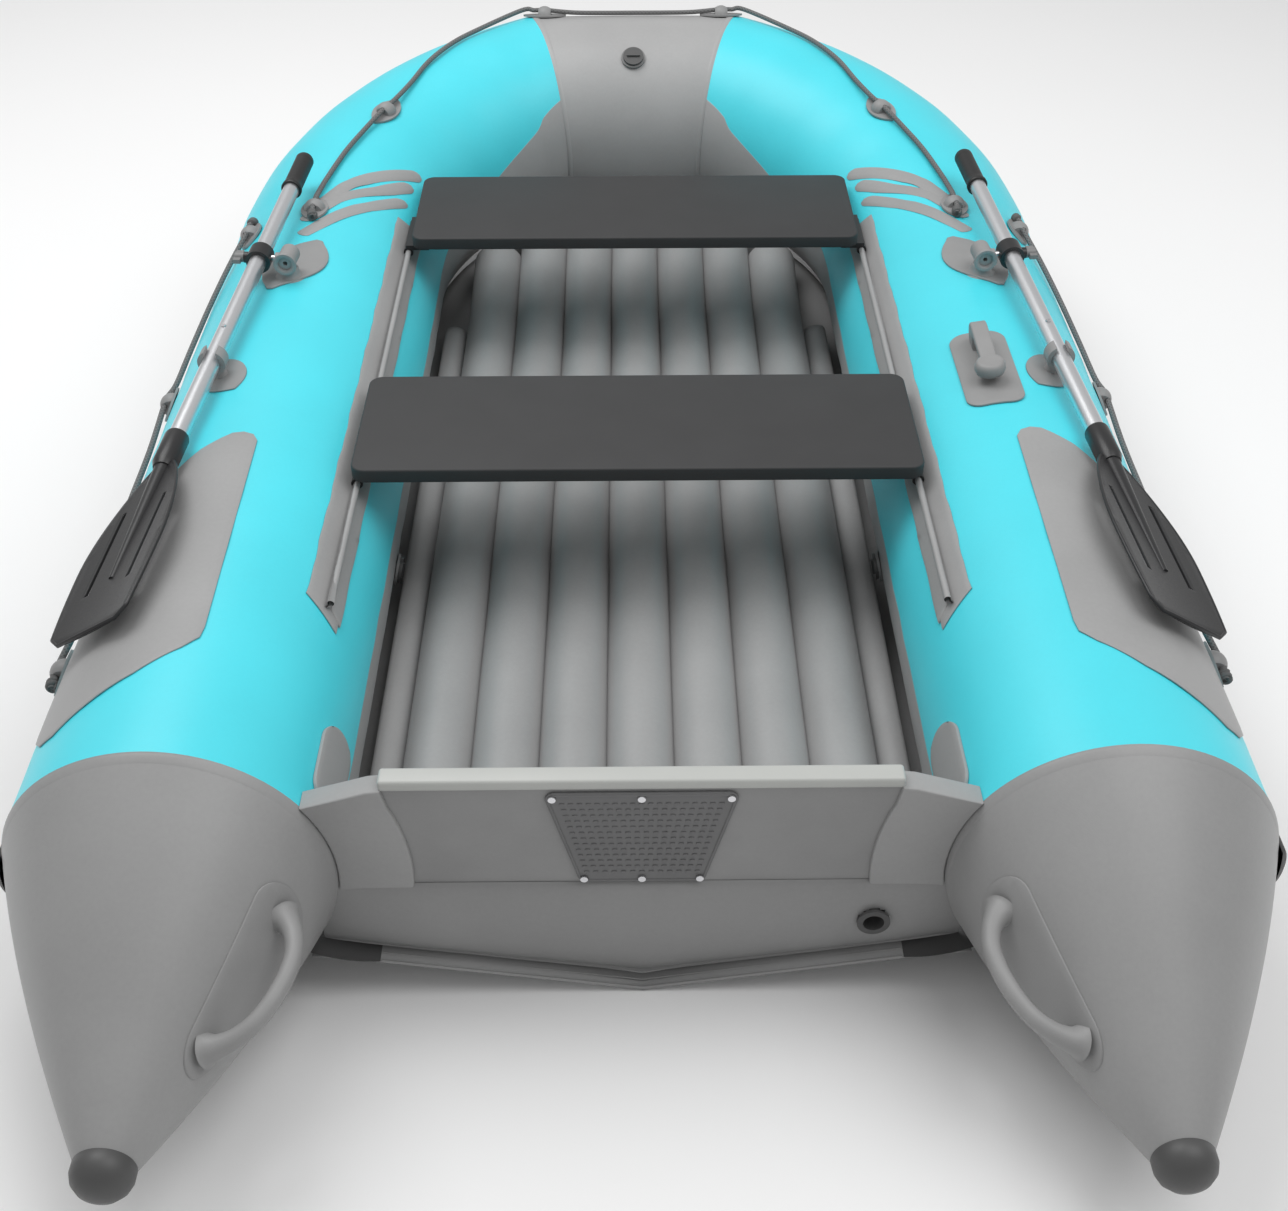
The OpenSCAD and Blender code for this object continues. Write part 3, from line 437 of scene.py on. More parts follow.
def corner_points(w, l, r, n=6, cx=0.0, cy=0.0):
    """Outline of a rounded rectangle."""
    points = []
    for k, (sx, sy) in enumerate(((1, 1), (-1, 1), (-1, -1), (1, -1))):
        for i in range(n + 1):
            a = math.pi / 2 * (k + i / n)
            points.append((cx + sx * (w / 2 - r) + r * math.cos(a),
                           cy + sy * (l / 2 - r) + r * math.sin(a)))
    return points


def leaf_points(w, l, turn, n=16, tip=0.006):
    """Outline of a leaf that is turned on the bench: two arcs that meet in blunt tips."""
    points = []
    for sign in (1, -1):
        for i in range(n + 1):
            t = (-1 + 2 * i / n) * sign
            x = sign * (w / 2) * (1 - t * t) ** 0.85
            points.append((x + (sign * tip if abs(t) > 0.999 else 0), t * l / 2))
    return [(x * math.cos(turn) - y * math.sin(turn), x * math.sin(turn) + y * math.cos(turn))
            for x, y in points]


def turned(profile, steps=48):
    """A shape turned on a lathe about Z from (radius, height) points."""
    bm = bmesh.new()
    chain = [bm.verts.new((r, 0, z)) for r, z in profile]
    edges = [bm.edges.new(pair) for pair in zip(chain, chain[1:])]
    bmesh.ops.spin(bm, geom=chain + edges, cent=(0, 0, 0), axis=(0, 0, 1), angle=2 * math.pi,
                   steps=steps, use_merge=True)
    bmesh.ops.remove_doubles(bm, verts=bm.verts, dist=1e-6)
    bmesh.ops.recalc_face_normals(bm, faces=bm.faces)
    return bm


def swept(path, radius, around=16):
    """A round bar along points. The radius may be a number or one number for each point."""
    bm = grid(len(path) - 1, around)
    radii = radius if isinstance(radius, (list, tuple)) else [radius] * len(path)
    frames = []
    side = None
    for i, p in enumerate(path):
        d = (path[min(i + 1, len(path) - 1)] - path[max(i - 1, 0)]).normalized()
        side = (d.orthogonal() if side is None else side - d * side.dot(d)).normalized()
        frames.append((p, side, d.cross(side)))
    count = len(path) - 1

    def where(x, y, z):
        i = round(x * count)
        p, a, b = frames[i]
        return p + (a * math.cos(2 * math.pi * y) + b * math.sin(2 * math.pi * y)) * radii[i]

    return close_ends(lay(bm, where))


def curve_through(points, steps=8):
    """A smooth line through points, a Catmull-Rom curve."""
    pts = [points[0]] + list(points) + [points[-1]]
    line = []
    for a, b, c, d in zip(pts, pts[1:], pts[2:], pts[3:]):
        for k in range(steps):
            t = k / steps
            line.append(0.5 * (2 * b + (c - a) * t + (2 * a - 5 * b + 4 * c - d) * t * t
                               + (3 * b - a - 3 * c + d) * t ** 3))
    return line + [points[-1]]


def block(size, at=(0, 0, 0), edge=0.002, segments=3):
    bm = bmesh.new()
    bmesh.ops.create_cube(bm, size=1.0)
    bmesh.ops.scale(bm, verts=bm.verts, vec=size)
    bmesh.ops.translate(bm, verts=bm.verts, vec=at)
    soften(bm, bm.edges[:], edge, segments)
    return bm


def placed(bm, matrix):
    bmesh.ops.transform(bm, matrix=matrix, verts=bm.verts)
    return bm


def joined(*parts):
    """Several shapes as one mesh."""
    whole = bmesh.new()
    for part in parts:
        mesh = bpy.data.meshes.new("part")
        part.to_mesh(mesh)
        part.free()
        whole.from_mesh(mesh)
        bpy.data.meshes.remove(mesh)
    return whole


print("piece helpers ready")

# %% [markdown]
# ## Lifelines
# The rope is threaded through eyes on the tubes: one length round the bow and one on each
# side, with a stopper knot at each end. A curve with a bevel would do, but a mesh tube along
# smoothed points can carry a UV map, which the braid follows.

# %% Ropes
ROPE_R = 0.005
EYE_OFF = 0.0133


def on_tube_line(points, side=1):
    return [tube_point(s, math.radians(a), off, side) for s, a, off in points]


SIDE_LINE = [(1.530, 37, .008), (1.505, 38, EYE_OFF), (1.480, 38, EYE_OFF), (1.460, 38, EYE_OFF),
             (1.380, 46, .009), (1.280, 54, .007), (1.160, 61, .007), (1.060, 65, .008),
             (1.020, 66, EYE_OFF), (1.000, 66, EYE_OFF), (.980, 66, EYE_OFF), (.860, 67, .008),
             (.720, 68, .007), (.580, 69, .007), (.450, 69, .008), (.320, 68, EYE_OFF),
             (.300, 68, EYE_OFF), (.262, 68, .010)]


def shoulder_s(degrees):
    return STRAIGHT + SHOULDER_R * math.radians(degrees)


HALF_BOW = [(1.450, 1, .009), (1.480, 2, EYE_OFF), (1.500, 2, EYE_OFF), (1.530, 2, EYE_OFF),
            (1.570, 2, .009)] + [(shoulder_s(d), a, off) for d, a, off in (
                (4, 0, .008), (12, -3, .008), (19, -5, .009), (23, -6, EYE_OFF), (26, -6, EYE_OFF),
                (29, -6, EYE_OFF), (35, -2, .008), (42, 6, .008), (49, 14, .008), (55, 20, .009))]
ACROSS = [(.225, EYE_OFF), (.200, EYE_OFF), (.175, EYE_OFF), (.120, .008), (.060, .007), (0, .007)]


def stopper(line):
    """A whipped end with a stopper knot: the rope's tail wound twice round itself."""
    start, d = line[0], (line[1] - line[0]).normalized()
    side = d.orthogonal().normalized()
    other = d.cross(side)
    turns = [start + d * (0.002 + 0.012 * k / 36)
             + (side * math.cos(math.pi * k / 9) + other * math.sin(math.pi * k / 9)) * 0.0058
             for k in range(37)]
    return joined(swept(turns, 0.0043, 10), swept(line[:8], ROPE_R + 0.0012, 14))


def rope(name, points):
    line = curve_through(points, 10)
    length = sum((b - a).length for a, b in zip(line, line[1:]))
    bm = swept(line, ROPE_R, 12)
    uv = bm.loops.layers.uv.new("strands")
    places, walked = [0.0], 0.0
    for a, b in zip(line, line[1:]):
        walked += (b - a).length
        places.append(walked)
    bm.verts.ensure_lookup_table()
    for face in bm.faces:
        for loop in face.loops:
            co = loop.vert.co
            i = min(range(len(line)), key=lambda k: (line[k] - co).length_squared)
            d = (line[min(i + 1, len(line) - 1)] - line[max(i - 1, 0)]).normalized()
            side = Vector((0.1, 0.2, 1)).cross(d).normalized()
            rel = co - line[i]
            turn = math.atan2(rel.dot(d.cross(side)), rel.dot(side)) / (2 * math.pi)
            loop[uv].uv = (places[i], turn)
    obj = piece(bm, name, "hull", rope_braid, ["lifelines"])
    ends = joined(stopper(line), stopper(line[::-1]))
    stops = piece(ends, name + "_knots", "hull", knot_cord)
    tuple(line[0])
    print(name, "is", round(length, 3), "m long")


starboard_half = on_tube_line(HALF_BOW)
across = [bow_point(x, math.radians(22), off) for x, off in ACROSS]
across_port = [Vector((-p.x, p.y, p.z)) for p in reversed(across[:-1])]
port_half = [Vector((-p.x, p.y, p.z)) for p in reversed(starboard_half)]
lines = {"bow_lifeline": starboard_half + across + across_port + port_half,
         "port_lifeline": on_tube_line(SIDE_LINE, -1),
         "starboard_lifeline": on_tube_line(SIDE_LINE)}
for name, points in lines.items():
    rope(name, points)

# %% [markdown]
# ## Inflated tubes
# The fabric panel seams are what makes a tube look real: the lower panels are grey, and their
# edge sweeps up where the shoulder meets the bow. A signed distance to that edge is stored on
# the mesh, so the shader can draw one crisp lap seam.

# %% Side tubes
AROUND = 120
INNER_EDGE = math.radians(-84)
OUTER_EDGE = math.radians(95.5)


def panel_edge(s):
    """The angle of the inner grey panel's edge, which climbs towards the bow seam."""
    return INNER_EDGE + math.radians(33) * min(1, max(0, (s - (END_S - 0.52)) / 0.52)) ** 1.5


def side_tube(name, side, stands_for):
    stations = [i / 26 * STRAIGHT for i in range(26)]
    stations += [STRAIGHT + (END_S - STRAIGHT) * i / 60 for i in range(61)]
    bm = grid(len(stations) - 1, AROUND)
    edge = bm.verts.layers.float.new("panel")
    for v in bm.verts:
        s = stations[round(v.co.x * (len(stations) - 1))]
        a = -math.pi + v.co.y * 2 * math.pi
        inner = (panel_edge(s) - a) * TUBE_R
        outer = (a - OUTER_EDGE) * TUBE_R
        v[edge] = max(inner, outer)
        puff = 0.0008 * math.sin(s * 41) * math.sin(3 * a + s * 5) * smooth(s / 0.1)
        v.co = tube_point(s, a, puff - 0.0006, side)
    return piece(close_ends(bm), name, "hull", hull_fabric, stands_for)


for side, word in ((-1, "port"), (1, "starboard")):
    side_tube(word + "_tube_skin", side,
              [word + "_tube", word + "_shoulder", word + "_bow_quarter"])

# %% [markdown]
# The bow segment is one grey panel between two mitred seams, with a narrow tape on each seam.
# The seams could be cut with a boolean. Sliding each point along by the mitre does the same
# and keeps the rings of the two meshes in line.

# %% Bow segment and seam tapes
def bow_segment():
    bm = grid(36, AROUND)
    for v in bm.verts:
        x, a = (2 * v.co.x - 1) * KNEE_X, -math.pi + v.co.y * 2 * math.pi
        v.co = bow_point(x, a, -0.0006 + 0.001 * math.cos(x * 14) * math.sin(2 * a))
    return close_ends(bm)


piece(bow_segment(), "bow_skin", "hull", bow_fabric, ["bow_tube"])


def hoop(where, wide, proud):
    """A flat tape round a tube: where(along, angle, off) places it."""
    bm = grid(6, AROUND)
    lip = [0, 0.7, 1, 1, 1, 0.7, 0]
    for v in bm.verts:
        k = round(v.co.x * 6)
        angle = -math.pi + v.co.y * 2 * math.pi
        v.co = where((v.co.x - 0.5) * wide, angle, proud * lip[k] - 0.0004)
    return bm


tapes = joined(hoop(lambda t, a, off: bow_point(KNEE_X - 0.006 + t, a, off), 0.014, 0.0012),
               hoop(lambda t, a, off: bow_point(-KNEE_X + 0.006 + t, a, off), 0.014, 0.0012))
piece(tapes, "bow_seam_tapes", "hull", bow_fabric, ["bow_tube"])

# %% [markdown]
# ## Stern cones
# Each cone swells gently and droops to a small round cap. Its seam to the tube is a lap. The
# cap is round about one line, so it is spun from a profile, and the cone is a rolled panel.

# %% Cones and their caps
def cones():
    bm = grid(30, 96)
    for v in bm.verts:
        v.co = cone_point(-v.co.x * CONE_L, -math.pi + v.co.y * 2 * math.pi, 0.0004)
    return both_sides(close_ends(bm))


piece(cones(), "cone_skins", "hull", cone_fabric, ["port_cone", "starboard_cone"])
lap = hoop(lambda t, a, off: cone_point(min(t - 0.008, 0), a, off + 0.0004), 0.016, 0.0008)
piece(both_sides(lap), "cone_seams", "hull", cone_fabric)
CAP = [(TIP_R + 0.0008, -0.004), (TIP_R + 0.003, -0.001), (TIP_R + 0.003, 0.012),
       (TIP_R - 0.0005, 0.022), (TIP_R - 0.009, 0.031), (0.012, 0.0365), (0, 0.038)]
cap = turned(CAP, 56)
bmesh.ops.transform(cap, verts=cap.verts, matrix=Matrix.Translation(
    (AXIS_X, STERN - CONE_L, TUBE_R - TIP_DROP)) @ Matrix.Rotation(math.pi / 2, 4, "X"))
piece(both_sides(cap), "cone_end_caps", "hull", dark_rubber, ["cone_caps"])

# %% [markdown]
# ## Rub strakes
# An extruded rubber strake with two ribs is glued along the widest line of the tubes. Its
# section is swept by laying a narrow sheet along the tube, and ends in black moulded tips.

# %% Strakes
STRAKE_LOW, STRAKE_H = -0.022, 0.058
RIBS = [(0, 0), (0.02, 0.004), (0.10, 0.0065), (0.18, 0.0088), (0.28, 0.0088), (0.36, 0.0055),
        (0.44, 0.0045), (0.56, 0.0045), (0.64, 0.0055), (0.72, 0.0088), (0.82, 0.0088),
        (0.90, 0.0065), (0.98, 0.004), (1, 0)]


def strake_angle(share):
    return math.acos((STRAKE_LOW + STRAKE_H * (1 - share)) / TUBE_R)


def strake(where, stations):
    bm = grid(len(stations) - 1, len(RIBS) - 1)
    for v in bm.verts:
        share, proud = RIBS[round(v.co.y * (len(RIBS) - 1))]
        station = stations[round(v.co.x * (len(stations) - 1))]
        v.co = where(station, strake_angle(share), proud - 0.0004)
    return bm


run = [0.04 + i / 40 * (STRAIGHT - 0.04) for i in range(40)]
run += [STRAIGHT + (END_S - STRAIGHT) * i / 60 for i in range(61)]
sides = both_sides(strake(tube_point, run))
ahead = strake(bow_point, [KNEE_X * (i / 20 - 1) for i in range(41)])
piece(joined(sides, ahead), "strake_skin", "hull", strake_rubber, ["rub_strakes"])


def strake_tip():
    bm = grid(12, 14)
    for v in bm.verts:
        s, share = -0.020 + v.co.x * 0.062, v.co.y
        swell = min(1, (v.co.x * 6) ** 0.5, ((1 - v.co.x) * 14) ** 0.5)
        swell *= math.sin(math.pi * share) ** 0.35
        height = STRAKE_LOW - 0.003 + (STRAKE_H + 0.006) * (1 - share)
        v.co = tube_point(s, math.acos(height / TUBE_R), 0.0106 * swell - 0.0003)
    return both_sides(bm)


piece(strake_tip(), "strake_tips", "hull", black_rubber, ["strake_ends"])

# %% [markdown]
# ## Air floor
# The floor is a row of air channels with welded valleys between them. Each channel is its own
# long lens-sided tube with domed ends, and rises with the bow.

# %% Floor channels
PITCH, CHANNEL_R = 0.099, 0.056
CHINE_Z, SKIN = 0.078, 0.0025
CHINE_X = AXIS_X - math.sqrt(TUBE_R ** 2 - (TUBE_R - CHINE_Z - SKIN) ** 2) - 0.0003
VEE = math.atan(CHINE_Z / CHINE_X)
FLOOR_Z = 3 * PITCH * math.tan(VEE) + (CHANNEL_R + 0.0003 + SKIN) / math.cos(VEE)
SIDE_R, SIDE_X = 0.033, 3 * PITCH + CHANNEL_R + 0.025
SIDE_Z = SIDE_X * math.tan(VEE) + (SIDE_R + 0.0003 + SKIN) / math.cos(VEE)
FLOOR_START = 0.075


def floor_front(x):
    """How far forward of the bow's start the floor reaches at x from the middle."""
    r = SHOULDER_R - TUBE_R - 0.001
    return min(KNEE_Y - TUBE_R - 0.001, math.sqrt(r * r - (abs(x) - ARC_X) ** 2))


def channel(cx, cz, r, half, wall):
    """One channel: a circle clipped to its share of the width. wall is the outer limit of x."""
    bm = grid(90, 40)
    length = STRAIGHT + floor_front(min(wall, abs(cx) + half * 0.6)) - FLOOR_START

    def where(u, v, w):
        a = 2 * math.pi * v
        y = FLOOR_START + length * u
        end = min(1, (min(u, 1 - u) * length / 0.045)) ** 0.5 if 0 < u < 1 else 0.02
        ripple = 1 + 0.006 * math.sin(y * 17 + cx * 31) * math.sin(y * 7.3 + cx * 11)
        x = max(-half, min(half, r * math.sin(a) * (0.35 + 0.65 * end)))
        z = r * math.cos(a) * end * ripple
        pinch = 1 - 0.10 * (abs(x) / half) ** 6
        x = max(-wall, min(wall, cx + x))
        return rise_up(x, y - STRAIGHT, cz + z * pinch - TUBE_R)

    return close_ends(lay(bm, where))


room = AXIS_X - TUBE_R - 0.001
channels = [channel(i * PITCH, FLOOR_Z, CHANNEL_R, PITCH / 2 + 0.0002, room) for i in range(-3, 4)]
channels += [channel(s * SIDE_X, SIDE_Z, SIDE_R, SIDE_R, room) for s in (-1, 1)]
piece(joined(*channels), "floor_channels", "hull", floor_fabric, ["air_floor"], 60)

# %% [markdown]
# ## Bottom
# One skin closes the hull from chine to chine, with a keel tube along the middle. A single
# sheet with a Solidify modifier gives it the even thickness of real fabric.

# %% Bottom skin
def bottom():
    bm = grid(100, 48)
    far_y = KNEE_Y - AXIS_X + CHINE_X

    def where(u, v, w):
        y = -0.030 + u * (STRAIGHT + 0.030 + far_y) - STRAIGHT
        half = CHINE_X
        if y > 0:
            r = SHOULDER_R - AXIS_X + CHINE_X
            half = min(CHINE_X, math.sqrt(max(1e-4, r * r - y * y)) + ARC_X)
        x = (2 * v - 1) * half
        z = abs(x) * math.tan(VEE) + 0.0008
        belly = 0.004 * math.sin(math.pi * min(1, abs(x) / CHINE_X))
        return rise_up(x, y, z + belly - TUBE_R)

    return lay(bm, where)


bottom_obj = piece(bottom(), "bottom_fabric", "hull", keel_fabric, ["bottom_skin"])
wall = bottom_obj.modifiers.new("wall", "SOLIDIFY")
wall.thickness, wall.offset = 0.002, 0

keel_line = [rise_up(0, FLOOR_START + 0.02 + t / 80 * (STRAIGHT + 0.34 - FLOOR_START) - STRAIGHT,
                     0.0282 - TUBE_R) for t in range(81)]
keel_radii = [0.012 if i in (0, 80) else 0.0245 for i in range(81)]
piece(swept(keel_line, keel_radii, 28), "keel_bladder", "hull", keel_fabric, ["keel_tube"])

# %% [markdown]
# ## Seat rails
# A strip of fabric is welded inside each tube, with a thicker flange along it, and carries a
# hard rolled bead on a thin web. The seats slide along this bead. The long edges were cut by
# hand, so they waver: a sine along the outline does that where a plain block would look dead.

# %% Strip, bead and flange
RAIL = (0.355, 1.580)
BEAD_A, BEAD_R = math.radians(-49), 0.228
STRIP_A = math.radians(-48.5)


def strip_outline():
    points = []
    for edge, order in ((1, 1), (-1, -1)):
        for i in range(61)[::order]:
            y = RAIL[0] + (RAIL[1] - RAIL[0]) * i / 60
            waver = 0.0009 * math.sin(y * 37 + edge) + 0.0007 * math.sin(y * 91)
            points.append((edge * 0.0310 + waver, y + (0.018 * edge if i == 0 else 0)))
    return points


strip = lay(cut_out(strip_outline(), 0.011, 0.0018, 0.0006),
            lambda x, y, z: tube_point(y, STRIP_A + x / PATCH_R, z + 0.0003))
SECTION = [(-0.0015, 0.001), (-0.0015, 0.0085)] + [
    (0.005 * math.sin(a), 0.013 - 0.005 * math.cos(a)) for a in
    [-0.5 - i * (2 * math.pi - 1.0) / 20 for i in range(21)]] + [(0.0015, 0.0085), (0.0015, 0.001)]


def bead_place(u, v, w):
    across, off = SECTION[round(v * (len(SECTION) - 1))]
    y = RAIL[0] + 0.012 + (RAIL[1] - RAIL[0] - 0.014) * u
    return tube_point(y, BEAD_A + across / BEAD_R, off + 0.0002 * math.sin(y * 60))


bead = lay(grid(80, len(SECTION) - 1), bead_place)
bmesh.ops.holes_fill(bead, edges=[e for e in bead.edges if e.is_boundary], sides=0)
FLANGE_EDGES = ((-0.0100, 1, [0.372 + 1.206 * i / 60 for i in range(61)]),
                (-0.0345, 0, [1.578 - 1.224 * i / 60 for i in range(61)]))
flange_line = [(x + 0.0008 * math.sin(y * 44 + shift), y) for x, shift, ys in FLANGE_EDGES for y in ys]
flange = lay(cut_out(flange_line, 0.012, 0.0034, 0.0015),
             lambda x, y, z: tube_point(y, STRIP_A + x / PATCH_R, z + 0.0004))
piece(both_sides(joined(strip, flange)), "rail_strips", "hull", patch_fabric,
      ["seat_rails"], 50)
piece(both_sides(bead), "rail_beads", "hull", floor_fabric, (), 50)

# %% [markdown]
# ## Patches and stripes
# Large patches guard the tubes from the resting oar blades. Each is a flat outline, cut out
# and laid square onto the round tube, so that its outline keeps its true shape from outside.

# %% Blade patches and shoulder stripes
def laid_square(s, angle):
    """Lays a flat piece whose middle is at (s, angle), seen square along that normal."""
    return lambda x, y, z: tube_point(s + y, angle + math.asin(x / PATCH_R), z + 0.0003)


PATCH_MM = [(-128, 240), (-121, 690), (-114, 706), (-100, 713), (-84, 711), (-40, 678), (10, 620),
            (64, 500), (96, 360), (108, 280), (110, 240), (122, 190), (120, 150), (108, 118),
            (80, 88), (50, 84), (0, 112), (-60, 150), (-110, 196), (-126, 218)]
patch = lay(cut_out([(x / 1000, y / 1000) for x, y in PATCH_MM], 0.014, 0.0017, 0.0007),
            laid_square(0, math.radians(28)))
piece(both_sides(patch), "blade_guards", "hull", patch_fabric, ["blade_patches"])


STRIPES = [[(1.800, -44), (1.727, -28), (1.654, -13), (1.600, -7), (1.545, -2)],
           [(1.745, -43), (1.654, -26.5), (1.574, -10.6), (1.515, -2), (1.455, 6)],
           [(1.677, -43), (1.569, -26.3), (1.485, -10.7), (1.430, -1.5), (1.395, 5)]]


def stripe(points, half=0.0155, proud=0.0016):
    """A band that is drawn flat along a curve and then laid round the tube."""
    line = curve_through([Vector((math.radians(a) * PATCH_R, s, 0)) for s, a in points], 10)
    count = len(line) - 1
    bm = grid(count, 6)
    for v in bm.verts:
        i, k = round(v.co.x * count), round(v.co.y * 6)
        d = (line[min(i + 1, count)] - line[max(i - 1, 0)]).normalized()
        end = min(1, (min(i, count - i) + 0.3) / 2.5) ** 0.5
        p = line[i] + Vector((-d.y, d.x, 0)) * (k / 3 - 1) * half * end
        raised = (0, 0.8, 1, 1, 1, 0.8, 0)[k] * (0 if i in (0, count) else 1)
        v.co = tube_point(p.y, p.x / PATCH_R, proud * raised + 0.0002)
    return bm


piece(both_sides(joined(*[stripe(points) for points in STRIPES])), "shoulder_stripes", "hull",
      patch_fabric, ["tube_stripes"])

# %% [markdown]
# ## Transom
# The board is a moulded panel with a pale capping on its top edge. Rubber holders join its
# ends to the tubes, and a skirt of the bottom fabric swells over its lower edge.

# %% Transom board and capping
def slab(outline, depth, edge=0.002, segments=3):
    """A board with soft rims on both faces, lying flat with its thickness upwards."""
    bm = bmesh.new()
    base = bm.faces.new([bm.verts.new((x, y, 0)) for x, y in outline])
    raised = bmesh.ops.extrude_face_region(bm, geom=[base])
    bmesh.ops.translate(bm, verts=[g for g in raised["geom"] if isinstance(g, bmesh.types.BMVert)],
                        vec=(0, 0, depth))
    bmesh.ops.recalc_face_normals(bm, faces=bm.faces)
    rim = [e for e in bm.edges if abs(e.verts[0].co.z - e.verts[1].co.z) < 1e-7]
    soften(bm, rim, edge, segments)
    return bm


def upright(y):
    """Stands a flat slab up: its y becomes height, and its face looks aft at hull y."""
    return Matrix(((1, 0, 0, 0), (0, 0, -1, STERN + y), (0, 1, 0, 0), (0, 0, 0, 1)))


board_line = corner_points(0.656, 0.277, 0.012, 5, 0, 0.2285)
board = placed(slab(board_line, 0.022, 0.0025), upright(0.022))
piece(board, "transom_panel", "hull", board_skin, ["transom_board"])
capping = block((0.658, 0.0285, 0.0165), (0, STERN + 0.011, 0.3680), 0.0045, 4)
piece(capping, "transom_capping", "hull", pale_plastic, ["transom_trim"])

# %% [markdown]
# The board's ends sit in rubber holders that lean on the tubes, each with a round ear welded to
# the tube in front. The holder's outer edge is the tube's own circle, so no gap shows.

# %% Side holders and their ears
def tube_side(z):
    return AXIS_X - math.sqrt((TUBE_R + 0.0004) ** 2 - (z - TUBE_R) ** 2)


heights = [0.161 + i * 0.0172 for i in range(11)]
HOLDER_R = 0.3132
inner_edge = [(AXIS_X - math.sqrt(HOLDER_R ** 2 - (z - TUBE_R) ** 2), z) for z in reversed(heights)]
outline = [(0.345, 0.360), (0.3262, 0.362)] + inner_edge + [(tube_side(z), z) for z in heights]
holder = placed(slab(outline, 0.034, 0.003), upright(0.028))
ear = lay(cut_out(corner_points(0.074, 0.146, 0.036, 8), 0.011, 0.005, 0.002),
          laid_square(0.105, math.radians(-70)))
piece(both_sides(joined(holder, ear)), "transom_sockets", "hull", patch_fabric,
      ["transom_holders"])

# %% [markdown]
# The skirt is pressed out by the air floor, so it bulges aft. A cloth simulation could blow it
# up, but a swell worked out for each point of a sheet is steady and leaves the drain free.

# %% Fabric skirt
DRAIN, DRAIN_R = (0.306, 0.132), 0.0195
SKIRT_HALF, SKIRT_TOP, SWELL = 0.428, 0.190, 0.0208


def skirt():
    def where(u, v, w):
        x = (2 * u - 1) * SKIRT_HALF
        low = abs(x) * math.tan(VEE) + 0.004
        if v > 0.04:
            swell = math.sin(math.pi * min(1, (1 - v) / 0.96)) ** 0.55
        else:
            swell = 0.35 * (v / 0.04)
        swell *= (1 - abs(x / 0.44) ** 8) * (1 + 0.05 * math.sin(x * 47) * math.sin(x * 13 + 1))
        return Vector((x, STERN - 0.0008 - SWELL * swell, low + v * (SKIRT_TOP - low)))

    bm = lay(grid(120, 44), where)
    near = [f for f in bm.faces if math.hypot(f.calc_center_median().x - DRAIN[0],
                                              f.calc_center_median().z - DRAIN[1]) < DRAIN_R]
    bmesh.ops.delete(bm, geom=near, context="FACES")
    return bm


piece(skirt(), "transom_bulge", "hull", keel_fabric, ["transom_skirt"])


def gusset():
    """A web in each corner between the bottom's tail and the tube; its near-black colour is painted
    shade.
    """
    def where(u, v, w):
        x = 0.352 + 0.092 * u
        y = STERN - 0.0305 + 0.030 * v - 0.004 * math.sin(math.pi * u) * (1 - v)
        return Vector((x, y, x * math.tan(VEE) + 0.0045 + 0.004 * u * u))

    return both_sides(lay(grid(14, 6), where))


# The near-black rubber finish on these webs is painted shade, not the fabric's own colour.
piece(gusset(), "painted_shade_corner_webs", "hull", dark_rubber)

# %% [markdown]
# The bottom's tail ends in a hemmed cord. A thin bar is swept along each edge of the hem.

# %% Piping on the bottom's tail
tail = [Vector((x, STERN - 0.0288, abs(x) * math.tan(VEE) + 0.0042))
        for x in [i / 100 for i in range(-35, 36)]]
inner = [Vector((p.x, p.y + 0.014, p.z + 0.0003)) for p in tail]
piece(joined(swept(tail, 0.0022, 10), swept(inner, 0.0013, 8)), "tail_piping", "hull", keel_fabric)

# %% [markdown]
# ## Motor plate
# A moulded guard takes the motor's clamps. It has a raised rim and rows of small ribs. The
# ribs could be a bump, but real blocks catch the light, and each has only a few faces.

# %% Motor plate
PLATE_TOP, PLATE_LOW = 0.356, 0.193
PLATE_H, PLATE_HALF, PLATE_TAPER = 0.163, 0.1215, 0.037


def plate_half(z):
    return PLATE_HALF - (PLATE_TOP - z) / PLATE_H * PLATE_TAPER


def plate_outline(inset, n=6):
    top, bottom = PLATE_TOP - inset, PLATE_LOW + inset
    r = 0.012 - inset * 0.4
    wide, low = plate_half(top) - inset, plate_half(bottom) - inset
    points = []
    for cx, cy, start in ((wide - r, top - r, 0), (-wide + r, top - r, 90),
                          (-low + r, bottom + r, 180), (low - r, bottom + r, 270)):
        angles = [math.radians(start + 90 * i / n) for i in range(n + 1)]
        points += [(cx + r * math.cos(a), cy + r * math.sin(a)) for a in angles]
    return points


plate = placed(slab(plate_outline(0), 0.0042, 0.0012), upright(-0.0004))
rim_line = [Vector((x, STERN - 0.0044, z)) for x, z in plate_outline(0.0035)]
rim = swept(rim_line + rim_line[:1], 0.0017, 10)
ribs = []
RIB_SIZE = (0.0066, 0.0022, 0.0030)
for row in range(13):
    z = 0.338 - row * 0.0104
    half = plate_half(z) - 0.017
    count = round(half / 0.0054)
    places = [(2 * k / (count - 1) - 1) * half for k in range(count)]
    ribs += [block(RIB_SIZE, (x, STERN - 0.0052, z), 0.0007, 1) for x in places]
piece(joined(plate, rim, *ribs), "motor_pad", "hull", plate_plastic,
      ["motor_plate"])

# %% [markdown]
# ## Seats
# Each bench is a flat board with rounded corners. Its rims catch the light, so they are
# rounded with several segments. The board rests on slotted runners that grip the beads.

# %% Bench boards
for name, body, node in (("rear_bench", "rear_seat_board", "rear_seat"),
                         ("front_bench", "front_seat_board", "front_seat")):
    low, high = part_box(node)
    outline = corner_points(high.x - low.x, high.y - low.y, 0.022, 8, 0, (low.y + high.y) / 2)
    bench = slab(outline, high.z - low.z, 0.0035, 4)
    bmesh.ops.translate(bench, verts=bench.verts, vec=(0, 0, low.z))
    piece(bench, name, body, seat_skin, [node], 60)

# %% [markdown]
# ## Oars
# Each oar lies in its oarlock and tilts in its collar. The blade is a thin spoon with a rib
# down its back and a long slot on each side of it, and the grip has a flared end.

